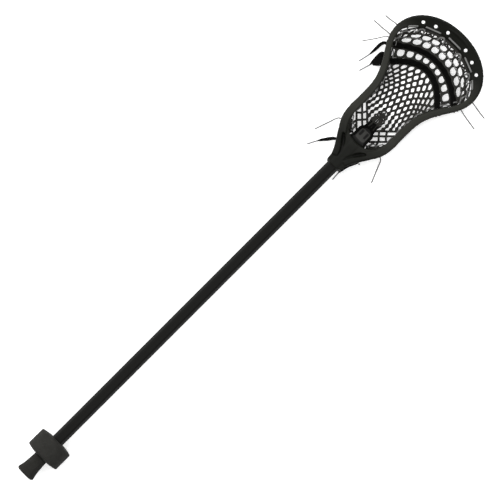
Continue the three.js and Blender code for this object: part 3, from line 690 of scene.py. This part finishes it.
def make_shaft():
    """An open tube with bevelled ends."""
    start, end, wall = SHAFT["start"], SHAFT["end"], SHAFT["wall"]
    stations = [start + 0.3, *np.arange(40, 740, 50), end - 0.3]
    rings = [octagon_ring(-0.3, start), *[octagon_ring(0, s) for s in stations], octagon_ring(-0.3, end)]
    rings += [octagon_ring(-wall, end), octagon_ring(-wall, start)]
    weighted(shell(rings).piece("shaft_tube", ALLOY, "shaft_alloy", "shaft", sharp=40))


def make_cap():
    """A rubber boot with a flared foot, closed at its end and hollow as far as the shaft's butt."""
    outline = profile([
        (0, 0.2), (0.5, 2.2), (1.6, 4.0), (3.4, 5.3), (8, 4.2), (15, 2.9), (23, 2.0), (31, 1.45),
        (CAP_LENGTH, 1.15),
    ])
    stations = [0.15, 0.4, 0.8, 1.3, 2, 2.7, 3.4, 4.4, 6, 8, 11, 15, 19, 23, 27, 31, 34, 36.6]
    insets = (10, 8, 6, 4, 2.5, 1.5, 1.0)
    rings = [octagon_ring(-inset, 0, CAP_CORNER * (1 - inset / 12)) for inset in insets]
    rings += [octagon_ring(float(outline(s)), s, CAP_CORNER) for s in stations]
    rings += [octagon_ring(1.15, CAP_LENGTH - 0.5, CAP_CORNER), octagon_ring(0.75, CAP_LENGTH, CAP_CORNER)]
    rings += [octagon_ring(0.35, CAP_LENGTH, 2.0), octagon_ring(GAP, CAP_LENGTH - 0.6)]
    rings = np.asarray([*rings, octagon_ring(GAP, CAP_FLOOR)])
    surface = Surface()
    surface.closed_grid(rings, np.linspace(0, 1, rings.shape[1] + 1), np.arange(len(rings)) * 0.002)
    surface.piece("end_cap_boot", CAP_RUBBER, "cap_rubber", "end_cap", "cap", sharp=55)


def make_ring():
    """A thick round sleeve with crowned ends and rounded edges, bored to fit the shaft."""
    radius, start, end = RING["radius"], RING["start"], RING["end"]
    crown, rounding, shoulder = RING["crown"], RING["round"], RING["shoulder"]
    cut = octagon_ring(GAP, 0, 1.6, 9)
    cut_angle = np.arctan2(cut[:, 2] - AXIS_Z, cut[:, 0])
    turned = np.argsort(cut_angle)
    angle = np.pi - turn(96)
    cut_reach = np.hypot(cut[:, 0], cut[:, 2] - AXIS_Z)
    reach = np.interp(angle, cut_angle[turned], cut_reach[turned], period=2 * np.pi)
    round_to = np.stack([np.cos(angle), np.zeros(96), np.sin(angle)], axis=1)
    bore = round_to * reach[:, None] + np.array([0, 0, AXIS_Z])

    def circle(r, station):
        return round_to * r + np.array([0, station, AXIS_Z])

    def bore_ring(station, out=0.0):
        return bore + round_to * out + np.array([0, station, 0])

    arc = np.linspace(0, np.pi / 2, 9)
    front = start + crown + rounding
    back = end - crown - rounding
    rings = [bore_ring(start + 0.7), bore_ring(start + 0.25, 0.35), circle(17.5, start + 0.1)]
    rings += [circle(shoulder, start + crown * 0.35), circle(26, start + crown * 0.72)]
    rings += [circle(radius - rounding * (1 - math.sin(a)), front - rounding * math.cos(a)) for a in arc]
    bands = np.linspace(front, back, 22)[1:-1]
    rings += [circle(radius - 0.05 * (1 - math.cos((s - 58) * 0.3)), s) for s in bands]
    rings += [circle(radius - rounding * (1 - math.cos(a)), back + rounding * math.sin(a)) for a in arc]
    rings += [circle(26, end - crown * 0.72), circle(shoulder, end - crown * 0.35), circle(17.5, end - 0.1)]
    rings += [bore_ring(end - 0.25, 0.35), bore_ring(end - 0.7)]
    shell(rings).piece("grip_ring_sleeve", RING_RUBBER, "ring_rubber", "grip_ring", "ring", sharp=60)


def make_screw():
    """A pan-headed screw from the back of the throat, with a hexagon socket in its head."""
    top, shank, head = SCREW["top"], SCREW["shank"], SCREW["head"]
    height, reach, station = SCREW["head_height"], SCREW["reach"], SCREW["station"]
    angle = turn(48)
    hexagon = 1.5 * math.cos(math.pi / 6) / np.cos((angle % (np.pi / 3)) - np.pi / 6)

    def level(radius, z):
        r = np.broadcast_to(radius, angle.shape)
        return np.stack([r * np.cos(angle), station + r * np.sin(angle), np.full(48, float(z))], axis=1)

    under = top - height
    rings = [level(hexagon * 0.98, under + 1.4), level(hexagon, under + 0.15), level(hexagon + 0.18, under)]
    for share in (0.6, 0.8, 0.92, 0.98):
        rings.append(level(head * share, under + height * (1 - math.sqrt(1 - share ** 2)) * 0.7))
    rings += [level(head, top - 0.7), level(head - 0.15, top - 0.1), level(head - 0.4, top)]
    rings.append(level(shank, top))
    threads = np.arange(top + 0.4, reach - 2.0, 0.25)
    rings += [level(shank - 0.14 * (1 + math.sin(2 * math.pi * z / 1.0)), z) for z in threads]
    rings += [level(shank - 0.3, reach - 1.5), level(shank * 0.4, reach)]
    surface = Surface()
    surface.closed_grid(rings, np.linspace(0, 1, 49), np.arange(len(rings)) * 0.0005)
    surface.piece("throat_screw", STEEL, "screw_steel", "head_screw", sharp=35)


make_shaft()
make_cap()
make_ring()
make_screw()

# ------------------------------------------------------------ moulded head


def relaxed(mesh, rounds):
    """Softens the steps of a remeshed surface without shrinking it."""
    places = np.zeros(len(mesh.vertices) * 3)
    mesh.vertices.foreach_get("co", places)
    places = places.reshape(-1, 3)
    pairs = np.zeros(len(mesh.edges) * 2, np.int32)
    mesh.edges.foreach_get("vertices", pairs)
    a, b = pairs.reshape(-1, 2).T
    count = np.bincount(np.concatenate([a, b]), minlength=len(places)).astype(float)[:, None]
    for k in range(rounds):
        total = np.zeros_like(places)
        for one, other in ((a, b), (b, a)):
            for c in range(3):
                total[:, c] += np.bincount(one, places[other, c], len(places))
        places = places + (0.5, -0.53)[k % 2] * (total / np.maximum(count, 1) - places)
    mesh.vertices.foreach_set("co", places.ravel())
    mesh.update()
    return places


def make_head():
    """The CAD model's head with its edges rounded. Returns the tree on which the rails are measured."""
    rough = bpy.data.objects.new("rough_head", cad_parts["head_frame"].data.copy())
    scene.collection.objects.link(rough)
    voxels = rough.modifiers.new("voxels", "REMESH")
    voxels.mode = "VOXEL"
    voxels.voxel_size = 0.00115
    bpy.context.view_layer.update()
    mesh = bpy.data.meshes.new_from_object(rough.evaluated_get(bpy.context.evaluated_depsgraph_get()))
    bpy.data.objects.remove(rough)
    mesh.name = "head_moulding"
    places = relaxed(mesh, 10)
    faces = [tuple(face.vertices) for face in mesh.polygons]
    finished(mesh, NYLON, "head_frame")
    return BVHTree.FromPolygons([Vector(place) for place in places], faces)


HEAD = make_head()


def head_height(x, station, start=90.0, down=True):
    """The height of the head's surface straight below (or above) a place, or None."""
    here = Vector(metres([x, station, start]))
    hit = HEAD.ray_cast(here, Vector((0, 0, -1 if down else 1)))[0]
    return None if hit is None else hit.z * 1000


def rail_face(station, side, rise=1.3):
    """The lower rail's outer face at a station, and the level direction that faces into the head."""

    def outer(s):
        here = Vector(metres([side * 120, s, float(low_z(s)) + rise]))
        hit = HEAD.ray_cast(here, Vector((-side, 0, 0)))[0]
        return np.array([hit.x * 1000, s])

    run = unit(outer(station + 2.5) - outer(station - 2.5))
    face = outer(station)
    inward = np.array([-run[1], run[0]]) * side
    return face, inward


RAIL_WIDTH = 8.0


def behind_rail(station, side, depth, rise):
    """A place inside the head, a depth in from the lower rail's outer face and a rise above its foot."""
    face, inward = rail_face(station, side)
    return np.array([*(face + inward * depth), float(low_z(station)) + rise])


def rail_loop(station, side, radius, slack=0.0):
    """A ring of points round the lower rail, through a hole in it, for a string of that radius."""
    face, inward = rail_face(station, side)
    low = float(low_z(station))
    hole = low + STRING_HOLE_RISE
    out, under = radius + slack, low - radius - slack
    route = [
        (RAIL_WIDTH + out, hole), (4.0, hole), (-out * 0.3, hole - 0.4), (-out * 0.3, low + 0.2),
        (0.9, under + 0.3), (4.0, under), (7.4, under + 0.3), (RAIL_WIDTH + out * 0.9, low + 0.6),
    ]
    points = [(*(face + inward * depth), z) for depth, z in route]
    return loop_through(points)


# ------------------------------------------------------------ net

# the stations of the rows of knots on the net's middle line
ROW_APEXES = (
    988, 978, 966.6, 955, 944.5, 933.5, 923, 912.5, 903, 894, 885, 875, 864.5, 853, 843, 834.3, 826, 818,
    810, 802,
)
ALL_ROWS = np.linspace(FIRST_ROW, LAST_ROW, 700)
ALL_APEXES = net_apex(ALL_ROWS)
knot_apex = profile(list(enumerate(ROW_APEXES)))
WALES = 20
# half of a strand's swing, and how far out the net's outermost cord lies, as shares of the net's half width
SWING = 0.046
SELVAGE = 0.985
# how far across the net its directions are still taken
STEADY = 0.97
# the knot count where the narrow channels start, and the stations of the gathered middle's tip, of the wings'
# upper edge and of the net's end under the scoop
LADDER = 13.5
TEARDROP = 838
WING_EDGE = 792.8
NET_TOP = 989.0


def smooth(value):
    """An even step from 0 to 1 while the value goes from 0 to 1."""
    t = np.clip(value, 0, 1)
    return t * t * (3 - 2 * t)


def knot_row(k):
    """The net row of a knot count from the scoop."""
    return np.interp(knot_apex(k), ALL_APEXES, ALL_ROWS)


def row_at(station, u):
    """The net row that reaches a station at u."""
    station, u = np.broadcast_arrays(np.asarray(station, float), np.asarray(u, float))
    low, high = np.full(u.shape, FIRST_ROW), np.full(u.shape, LAST_ROW)
    for _ in range(24):
        middle = (low + high) / 2
        above = net_point(middle, u)[..., 1] > station
        low, high = np.where(above, low, middle), np.where(above, middle, high)
    return (low + high) / 2


def net_height(x, station):
    """The height of the net at a place. Its lower end rises to the hem and to the ball stop."""
    x, station = np.broadcast_arrays(np.asarray(x, float), np.asarray(station, float))
    u = x / 40
    for _ in range(4):
        row = row_at(station, np.clip(u, -1, 1))
        u = x / net_half_width(row)
    z = net_point(row, np.clip(u, -1, 1))[..., 2]
    rise = smooth((841 - station) / 29) * np.clip((26 - np.abs(x)) / 12, 0, 1)
    return z * (1 - rise) + (HEM["z"] + 1.2) * rise


def wale(number):
    """The line of one strand of the net, from the scoop to the ball stop or to the lattice beside it.

    A strand swings to meet the next one on either side in turn. Where the narrow channels start it meets only
    one of them from there on.
    """
    middle = -1 + (number + 0.5) * 2 / WALES
    k = np.arange(-0.22, 19.4, 0.085)
    beat = np.cos(np.pi * k)
    beat = np.where(k > LADDER, np.abs(beat), beat)
    bend = 1.5 - 0.9 * smooth((k - 5.5) / 1.5)
    swing = np.tanh(bend * beat) / np.tanh(bend) * (1 if number % 2 == 0 else -1)
    u = middle + SWING * swing
    wider = 0.02 + 0.13 * smooth((k - 5) / 3)
    u = (1 + wider) * u - wider * u ** 3
    row = knot_row(k)
    curved = net_point(row, u)[:, 1]
    level = smooth((k - 9) / 5)
    row = row_at(curved * (1 - level) + knot_apex(k) * level, u)
    points = net_point(row, u)
    right, _, up = net_axes(row, np.clip(u, -STEADY, STEADY))
    points += up * (0.45 * np.abs(swing) ** 2 * np.cos(np.pi * (k + number)))[:, None]
    apart = 4.4 * smooth((843 - points[:, 1]) / 27) * np.clip(np.abs(points[:, 0]) / 4.4, 0, 1)
    points[:, 0] += np.sign(points[:, 0]) * apart
    across = np.abs(points[:, 0])
    low_end = points[:, 1] < 842
    points[low_end, 2] = net_height(points[low_end, 0], points[low_end, 1])
    points[:, 2] = np.maximum(points[:, 2], 1.0)
    keep = points[:, 1] > np.where(across > 11.2, WING_EDGE + across, 798.0)
    stop = len(keep) if keep.all() else int(np.argmin(keep))
    return points[:stop], right[:stop]


def on_net(row, u, lift):
    """Points above the net by a lift."""
    row, u = np.broadcast_arrays(np.asarray(row, float), np.asarray(u, float))
    _, _, up = net_axes(row, np.clip(u, -STEADY, STEADY))
    return net_point(row, u) + up * np.asarray(lift, float).reshape(-1, 1)


def lattice(surface, places, width=1.8, sides=(1,)):
    """A strand through places [x, station] on the net's surface, on the right (1), the left (-1) or both."""
    for side in sides:
        flat = through([(side * x, station, 0) for x, station in places], 1.4)
        flat[:, 2] = np.maximum(net_height(flat[:, 0], flat[:, 1]), 1.2) + 0.3
        surface.sweep(flat, width, 0.9, side=lying(flat), power=0.8)


def scoop_edge(x):
    """The station of the scoop's inner edge, straight ahead of a place in the mouth."""
    for station in np.arange(935, 1000, 0.5):
        if head_height(x, station) is not None:
            return station
    return 990.0


def make_wales(surface):
    """The strands that run from the scoop to the throat."""
    for number in range(WALES):
        points, right = wale(number)
        width = 1.75 + 0.3 * smooth((943 - points[:, 1]) / 15) - 0.35 * smooth((858 - points[:, 1]) / 20)
        surface.sweep(points, width, 0.95, side=right, power=0.8)


def make_gather(surface):
    """Finer strands that fill the gathered middle above the hem and run on to the ball stop's foot."""
    foot = 794.5
    for x in (-6.4, -3.2, 0, 3.2, 6.4):
        start = TEARDROP + 1 - 1.9 * abs(x)
        lattice(surface, [(x * 0.5, start), (x * 0.8, start - 9), (x, 814), (x, foot)], 1.4)
    for x in (-5, -1.7, 1.7, 5):
        lattice(surface, [(x, 811.5), (x, 805), (x * 0.9, foot)], 1.25)


def make_wings(surface):
    """The diagonals beside the ball stop, the strands across them and the selvage along the sidewall."""
    for run in (
        ((36.5, 829), (23.2, 816.2), (9.5, 802.6)),
        ((37.3, 819), (24, 805.6), (10.4, 792)),
        ((35.5, 804.2), (25.6, 794.2), (14.6, 783)),
        ((31.5, 789), (24, 779), (16, 775)),
        ((23.2, 816.4), (28.2, 808.4), (34.6, 802.4)),
        ((14, 807), (19.4, 800.4), (24.8, 794.4), (26.8, 785.5)),
        ((21, 789.4), (19.8, 782), (18.6, 774.8)),
    ):
        lattice(surface, run, sides=(1, -1))
    low_end = ((39.6, 806), (37.6, 797), (33.4, 787.4), (25.8, 778.2), (18.6, 771.8))
    lattice(surface, low_end, 2.2, sides=(1, -1))
    rows = np.linspace(925, 800, 140)
    for side in (1, -1):
        selvage = on_net(rows, np.full(140, side * SELVAGE), np.full(140, 0.8))
        surface.sweep(selvage, 1.7, 1.0, side=[0, 0.2, 1.0])


def make_top_edge(surface):
    """The net's edge bunched up under the scoop, with the strands that hang from it."""
    x = np.linspace(-60, 60, 81)
    edge = np.array([scoop_edge(place) for place in x])
    edge = np.convolve(np.pad(edge, 3, mode="edge"), np.ones(7) / 7, mode="valid")
    z = net_height(x, np.minimum(edge - 4, NET_TOP)) + 2.2 + 0.5 * np.cos(x * 1.6)
    band = np.column_stack([x, edge - 2.3 + 0.35 * np.sin(x * 1.6), z])
    surface.sweep(resampled(band, 1.0), 2.5, 1.3, side=[0, 1.0, 0.2], sides=16, power=0.9)
    for place, reach_down in ((0, 8), (12.6, 7), (18.8, 9), (27, 8), (34, 7), (45.5, 8), (58, 8)):
        for side in ((1, -1) if place else (1,)):
            top = float(np.interp(side * place, x, edge)) - 1.0
            lean = 0.0036 * place * reach_down
            lattice(surface, [(place, top - 1), (place - lean, top - reach_down)], 1.3, sides=(side,))
    # strands run up the mouth's side to the scoop's corner
    for run in (
        ((60, 971), (69, 959.5), (77, 946)), ((62, 962.5), (64, 955), (62.5, 946.5)),
        ((72, 956), (69.5, 948), (70, 936)), ((56, 961), (66, 953.5), (75, 949)),
        ((66, 943), (71, 935), (72.5, 926)),
    ):
        lattice(surface, run, 1.5, sides=(1, -1))


def make_net():
    """The soft net, as separate strands."""
    surface = Surface()
    make_wales(surface)
    make_gather(surface)
    make_wings(surface)
    # cords of the net that run across it and close its upper rows
    u = np.linspace(-SELVAGE, SELVAGE, 170)
    for count, width in ((0.62, 1.35), (2.54, 1.9), (3.52, 1.5), (4.5, 1.5), (5.5, 1.4)):
        surface.sweep(on_net(float(knot_row(count)), u, 0.5 + 0.5 * np.cos(np.pi * u * 10)), width, 1.0)
    make_top_edge(surface)
    surface.piece("net_strands", NET_CORD, "net_fibre", "mesh_pocket")


def make_hem():
    """The net's end, rolled over a cord and whipped with thread."""
    surface = Surface()
    half, station = HEM["half_width"], HEM["station"] + HEM["height"] / 2
    x = np.linspace(-half + 1.2, half - 1.2, 60)
    bow = 0.6 * (x / half) ** 2
    middle_z = HEM["z"] + 1.2
    line = np.stack([x, station - bow, np.full(60, middle_z)], axis=1)
    surface.sweep(line, 2.3, 1.35, side=[0, 1.0, 0], sides=20, power=0.9)
    angle = turn(24)
    for x in np.linspace(-half + 1.4, half - 1.4, 12):
        ahead = station - 0.6 * (x / half) ** 2 + 2.62 * np.cos(angle)
        loop = np.stack([x + 0.45 * np.sin(angle), ahead, middle_z + 1.62 * np.sin(angle)], axis=1)
        surface.closed_sweep(loop, 0.42, sides=8)
    surface.piece("net_hem", NET_CORD, "net_fibre", "mesh_hem")


make_net()
make_hem()

# ------------------------------------------------------------ shooting laces, strings and knots


def make_shooting_lace(name, node, count, reach, knots):
    """A pair of flat laces that twist round each other through the net along one row.

    Each knot is a turn round the lower rail at a station, with some slack.
    """
    surface = Surface()
    row = float(knot_row(count))
    u = np.linspace(-reach, reach, 420)
    _, ahead, up = net_axes(row, u)
    base = net_point(row, u)
    phase = np.pi * (u + 0.1) * 5 + np.pi / 2 * (count % 2)
    for side in (1, -1):
        apart = np.tanh(2.6 * np.sin(phase)) / math.tanh(2.6) * side
        over = np.cos(phase) * side
        line = base + ahead * (2.35 * apart)[:, None] + up * (1.5 + 0.75 * over)[:, None]
        line[:, 2] = np.maximum(line[:, 2], 1.4)
        surface.sweep(line, 2.75, 0.85, side=np.cross(up, tangents(line)), sides=20, power=0.75)
    first_knot = knots[0][0]
    for side in (-1, 1):
        for station, slack in knots:
            surface.closed_sweep(rail_loop(station, side, 1.3, slack), 1.9, 1.0, sides=12)
        end = net_point(row, side * reach)
        inner = behind_rail(first_knot, side, RAIL_WIDTH + 0.6, 3.6)
        hitch = [end + [0, 3.4, 2.2], end + [side * 2.6, 0.4, 3.2], inner, end + [side * 1.6, -3.8, 1.6]]
        surface.sweep(through(hitch, 0.8), 2.2, 1.1, sides=14, power=0.85)
    surface.piece(name, LACE, "lace_fabric", node)


make_shooting_lace("upper_shooting_lace_pair", "upper_shooting_lace", 3, 0.985, ((916.5, 0.5), (921.5, 0.2)))
make_shooting_lace("lower_shooting_lace_pair", "lower_shooting_lace", 5, 0.975, ((890.5, 0.4), (895.5, 0.6)))


def make_nylon_shooter():
    """A thin string woven over and under the strands between two rows of openings."""
    surface = Surface()
    u = np.linspace(-0.97, 0.97, 260)
    weave = 1.1 + 1.2 * np.cos(np.pi * u * 10)
    surface.sweep(on_net(float(knot_row(1.47)), u, weave), STRING_R)
    surface.piece("nylon_shooter_string", STRING, "nylon_string", "nylon_shooter")


def lip_height(x, station):
    """The height of the scoop's face at a place, or just ahead of it where the place is off the scoop."""
    found = [head_height(x, station + ahead) for ahead in (0, 1.5, 3, 4.5)]
    found = [z for z in found if z is not None]
    return found[0] if found else 48.0


def draped(places):
    """A line over the net through places [x, station, lift above the net]."""
    heights = [float(net_height(x, min(station, NET_TOP))) for x, station, _ in places]
    return through([(x, station, z + lift) for (x, station, lift), z in zip(places, heights)], 0.8)


def make_scoop_dash(surface, x0, s0, x1, s1):
    """A stitch on the scoop's face from one hole to the next, whose ends turn in below and hold the net."""
    share = np.linspace(0, 1, 9)
    xs, stations = x0 + (x1 - x0) * share, s0 + (s1 - s0) * share + 0.6
    heights = [lip_height(x, station) for x, station in zip(xs, stations)]
    middle = [(x, s, z + 0.9) for x, s, z in zip(xs[1:-1], stations[1:-1], heights[1:-1])]
    ends = [(xs[k], stations[k], heights[k]) for k in (0, -1)]
    (first, last) = [[(x, s, z - drop) for drop in (5.5, 0.6)] for x, s, z in ends]
    surface.sweep(through([*first, *middle, *last[::-1]], 0.7), 1.45, 1.1, side=[0, 1.0, 0.3], sides=14)
    for x, s, z in ends:
        below = head_height(x, s + 1.5, 0.0, down=False) or z - 12
        below = min(below - 0.8, z - 6.5)
        held = float(net_height(x * 0.97, min(s - 8.5, NET_TOP))) + 1.6
        hanger = [(x, s, z - 5.5), (x, s, below)]
        hanger += [(x * 0.985, s - 4, (below + held) / 2), (x * 0.97, s - 8.5, held)]
        surface.sweep(through(hanger, 0.8), 1.0)


def make_scoop_arch(surface, side, x0, x1, s0, s1, crown):
    """A bight of string between two holes, over the net's bunched top edge."""
    middle = (x0 + x1) / 2
    halves = []
    for x, station, out in ((x0, s0, -1.4), (x1, s1, 1.4)):
        shoulder = (x * 0.75 + middle * 0.25, (station + crown) / 2 + 1.2, 3.2)
        halves.append([(x + out, station - 1.5, -1.5), (x, station + 0.8, 1.6), shoulder])
    places = [*halves[0], (middle, crown, 4.2), *halves[1][::-1]]
    surface.sweep(draped([(side * x, s, lift) for x, s, lift in places]), 1.5, 1.2, sides=14)


def make_top_string():
    """The string that hangs the net from the scoop: stitches on the scoop's face and arches over the net."""
    surface = Surface()
    for x0, s0, x1, s1 in SCOOP_DASHES:
        make_scoop_dash(surface, x0, s0, x1, s1)
        if x0 > 0:
            make_scoop_dash(surface, -x0, s0, -x1, s1)
    for side in (1, -1):
        make_scoop_arch(surface, side, 13.2, 24.6, 980.5, 979.5, 988.3)
        make_scoop_arch(surface, side, 48, 57.5, 970.5, 965.5, 976.2)
        for x0, s0, x1, s1 in ((66.5, 958.5, 76, 947.5), (69, 942.5, 75.5, 930.5)):
            legs = [(side * x0, s0, 0), (side * (x0 + x1) / 2, (s0 + s1) / 2, 1.6), (side * x1, s1, 0.6)]
            surface.sweep(draped(legs), 1.1, sides=14)
    surface.piece("top_string_run", STRING, "nylon_string", "top_string")


def make_sidewall_string(side, node):
    """A string that lashes the net's edge to one lower rail, with two more runs in the low corner."""
    surface = Surface()
    route = []
    for station in STRING_HOLES[1:]:
        surface.closed_sweep(rail_loop(station, side, STRING_R), STRING_R, sides=12)
        rows = np.array([station - 5.5, min(station + 5.5, 944.5)])
        before, after = on_net(rows, side * 0.95, [1.6, 1.6])
        inner = behind_rail(station, side, RAIL_WIDTH + 0.6 + STRING_R, STRING_HOLE_RISE + 0.4)
        route += [before, inner, after]
    surface.sweep(through(route, 1.0), STRING_R)
    for run in (
        ((33.5, 796), (27, 785.5), (19.5, 775.5)), ((29.5, 784), (25.5, 786.5), (21, 784), (17.6, 776.5)),
    ):
        places = [(side * x, s, max(float(net_height(side * x, s)), 1.2) + 1.7) for x, s in run]
        surface.sweep(through(places, 0.8), STRING_R)
    surface.piece(f"{node}_lashing", STRING, "nylon_string", node)


make_nylon_shooter()
make_top_string()
make_sidewall_string(-1, "sidewall_string_left")
make_sidewall_string(1, "sidewall_string_right")

# ------------------------------------------------------------ ball stop and bottom lace

SLOPE = math.atan2(TONGUE_TOP[1] - TONGUE_BOTTOM[1], TONGUE_BOTTOM[0] - TONGUE_TOP[0])
PAD_DOWN = np.array([0, math.cos(SLOPE), -math.sin(SLOPE)])
PAD_OUT = np.array([0, math.sin(SLOPE), math.cos(SLOPE)])
PAD_TOP = np.array([0, TONGUE_TOP[0] + PAD["start"], TONGUE_TOP[1] - PAD["start"] * math.tan(SLOPE)])
PAD_ORIGIN = PAD_TOP + PAD_OUT * 0.4


def on_pad(x, down, out):
    """A place on the sloping pad: x to the right, down its slope, out from the tongue."""
    x, down, out = np.broadcast_arrays(np.asarray(x, float), down, out)
    return PAD_ORIGIN + np.stack([x, down, out], axis=-1) @ np.array([[1.0, 0, 0], PAD_DOWN, PAD_OUT])


def rounded(x, y, half_x, half_y, corner, soft):
    """1 inside a rounded rectangle round the origin and 0 outside it, with a soft edge."""
    beyond = np.hypot(*[np.maximum(np.abs(a) - half + corner, 0) for a, half in ((x, half_x), (y, half_y))])
    return smooth((corner + soft - beyond) / (2 * soft))


def pad_relief(x, down):
    """Height of the pad's moulded pattern: one low rounded panel with two upright grooves in it."""
    panel = rounded(x, down - 16.2, 9.6, 13.8, 4.5, 0.9)
    grooves = rounded(np.abs(x) - 5.0, down - 19.5, 2.1, 8.5, 2.0, 0.8)
    return panel * (1 - grooves)


def make_ball_stop():
    """The foam pad: rings that run across its front and back again across its back."""
    half, length, thick = PAD["width"] / 2, PAD["length"], PAD["thickness"]
    corner, foot = PAD["corner"], PAD["foot"]
    skin, edge_round, fade, relief_depth = 0.9, 1.8, 1.4, 0.95
    down = np.linspace(0, length, 97)[:, None]
    low_corner = half - corner + np.sqrt(np.maximum(corner ** 2 - (down - length + corner) ** 2, 0))
    high_corner = half - foot + np.sqrt(np.maximum(foot ** 2 - (foot - down) ** 2, 0))
    narrow = np.where(down > length - corner, low_corner, half)
    narrow = np.where(down < foot, high_corner, narrow)
    x = np.linspace(-1, 1, 73) * narrow
    rim = np.minimum(narrow - np.abs(x), np.minimum(down, length - down))
    crown = 1 - np.clip(1 - rim / edge_round, 0, 1) ** 2.4
    raised = pad_relief(x, down) * np.clip(rim / fade, 0, 1)
    front = on_pad(x, down, skin + (thick - skin - 1.0) * crown + relief_depth * raised)
    back = on_pad(x, down, 0.0)[:, ::-1]
    surface = Surface()
    rings = np.concatenate([front, back], axis=1)
    surface.closed_grid(rings, np.linspace(0, 1, rings.shape[1] + 1), down[:, 0] * 0.001)
    pad = surface.piece("ball_stop_pad", FOAM, "stop_foam", "ball_stop", sharp=70)
    relief = pad.data.attributes.new("relief", "FLOAT", "POINT")
    relief.data.foreach_set("value", np.concatenate([raised, 0 * raised], axis=1).ravel())


def make_bottom_lace():
    """A thick lace down both edges of the ball stop and round its foot, tied up to the hem."""
    surface = Surface()
    half = [(19.5, 766.6, 35.0), (15.0, 768.6, 41.8)]
    half += [on_pad(x, down, out) for x, down, out in (
        (12.8, 3.5, 4.6), (12.6, 10, 5.2), (12.4, 18, 5.2), (11.9, 25, 5.2), (10.4, 31, 5.1),
        (7.4, 35.5, 4.8), (3.6, 38.6, 4.4),
    )]
    half = np.array(half)
    line = through(np.concatenate([half, half[::-1] * [-1, 1, 1]]), 0.9)
    surface.sweep(line, 2.2, 1.25, side=np.cross(tangents(line), PAD_OUT), sides=20, power=0.8)
    # four ties reach from the foot to the hem
    middle = 804.2
    cos, sin = np.cos(turn(40)), np.sin(turn(40))
    for x, lean, wide in ((-7.6, 0.8, 1.9), (8.2, -0.8, 1.9), (-1.6, 0.5, 1.5), (2.6, -0.4, 1.7)):
        tie = np.stack([x + lean * cos, middle + 6.6 * cos, HEM["z"] + 1.5 + 2.6 * sin], axis=1)
        surface.closed_sweep(tie, wide, 0.9, sides=12)
    surface.piece("bottom_lace_run", LACE, "lace_fabric", "bottom_lace")


def make_lace_loop():
    """The bunched lace outside the left rail: one loop, and the folds that fill it."""
    surface = Surface()
    line = through(LOWER_LACE_LOOP, 0.8)
    surface.sweep(line, 2.4, 1.5, side=lying(line), sides=20, power=0.8)
    for route in (
        ((-62.4, 887.4, 12.0), (-66, 882.6, 8.2), (-70.6, 877.6, 4.4)),
        ((-64.2, 893, 12.4), (-67.8, 886, 8.6), (-71.8, 878.8, 5)),
        ((-66.4, 896.5, 12.4), (-70.2, 889, 8.2), (-72.6, 879, 5.0)),
        ((-67.8, 904, 13.4), (-71.6, 897, 10.0), (-73.4, 886, 6.2)),
    ):
        fold = through(route, 0.8)
        surface.sweep(fold, np.linspace(2.9, 1.9, len(fold)), 1.3, side=lying(fold), sides=20, power=0.8)
    surface.piece("lower_lace_bight", LACE, "lace_fabric", "lower_lace_loop")


def make_throat_knot():
    """A string's end tied in a small overhand knot where it leaves the throat."""
    t = turn(80)
    trefoil = [np.sin(t) + 2 * np.sin(2 * t), np.cos(t) - 2 * np.cos(2 * t), -np.sin(3 * t)]
    line = np.stack(trefoil, axis=1) * [0.33, 0.33, 0.45] + [28.8, 745.7, 17]
    surface = Surface()
    surface.closed_sweep(line, 0.62, side=[0, 0, 1.0], sides=12)
    surface.piece("throat_string_knot", STRING, "nylon_string", "throat_knot")


make_ball_stop()
make_bottom_lace()
make_lace_loop()
make_throat_knot()

# ------------------------------------------------------------ floor and light

FLOOR_REACH = 45.0
floor_mesh = bpy.data.meshes.new("floor")
corners = [(x * FLOOR_REACH, y * FLOOR_REACH, 0) for x, y in ((-1, -1), (1, -1), (1, 1), (-1, 1))]
floor_mesh.from_pydata(corners, [], [(0, 1, 2, 3)])
floor_mesh.materials.append(floor_paint())
floor = bpy.data.objects.new("floor", floor_mesh)
floor.location.z = -0.0002
scene.collection.objects.link(floor)

# the sky is brightest in one direction, and dark away from it
BRIGHTEST = (-0.36, 0.05, 1.0)
SKY = ((0.0, 0.02), (0.25, 0.07), (0.6, 0.46), (1.0, 1.08))
SKY_STRENGTH = 2.3
world = bpy.data.worlds.new("studio")
world.use_nodes = True
scene.world = world
tree = world.node_tree
direction = tree.nodes.new("ShaderNodeTexCoord")
towards = tree.nodes.new("ShaderNodeVectorMath")
towards.operation = "DOT_PRODUCT"
towards.inputs[1].default_value = Vector(BRIGHTEST).normalized()
sky = tree.nodes.new("ShaderNodeValToRGB")
tree.links.new(direction.outputs["Generated"], towards.inputs[0])
tree.links.new(towards.outputs["Value"], sky.inputs["Fac"])
while len(sky.color_ramp.elements) < len(SKY):
    sky.color_ramp.elements.new(0.5)
for element, (place, light) in zip(sky.color_ramp.elements, SKY):
    element.position = place
    element.color = (light, light, light, 1)
tree.links.new(sky.outputs[0], tree.nodes["Background"].inputs[0])
tree.nodes["Background"].inputs[1].default_value = SKY_STRENGTH


def softbox(name, place, aim, size, power):
    data = bpy.data.lights.new(name, "AREA")
    data.shape = "RECTANGLE"
    data.size, data.size_y = size
    data.energy = power
    lamp = bpy.data.objects.new(name, data)
    lamp.location = place
    lamp.rotation_mode = "QUATERNION"
    lamp.rotation_quaternion = (Vector(aim) - Vector(place)).to_track_quat("-Z", "Y")
    scene.collection.objects.link(lamp)


softbox("key", (-1.9, 0.2, 2.3), (0, 0, 0), (1.0, 1.8), 16.0)
scene.view_settings.view_transform = "Standard"
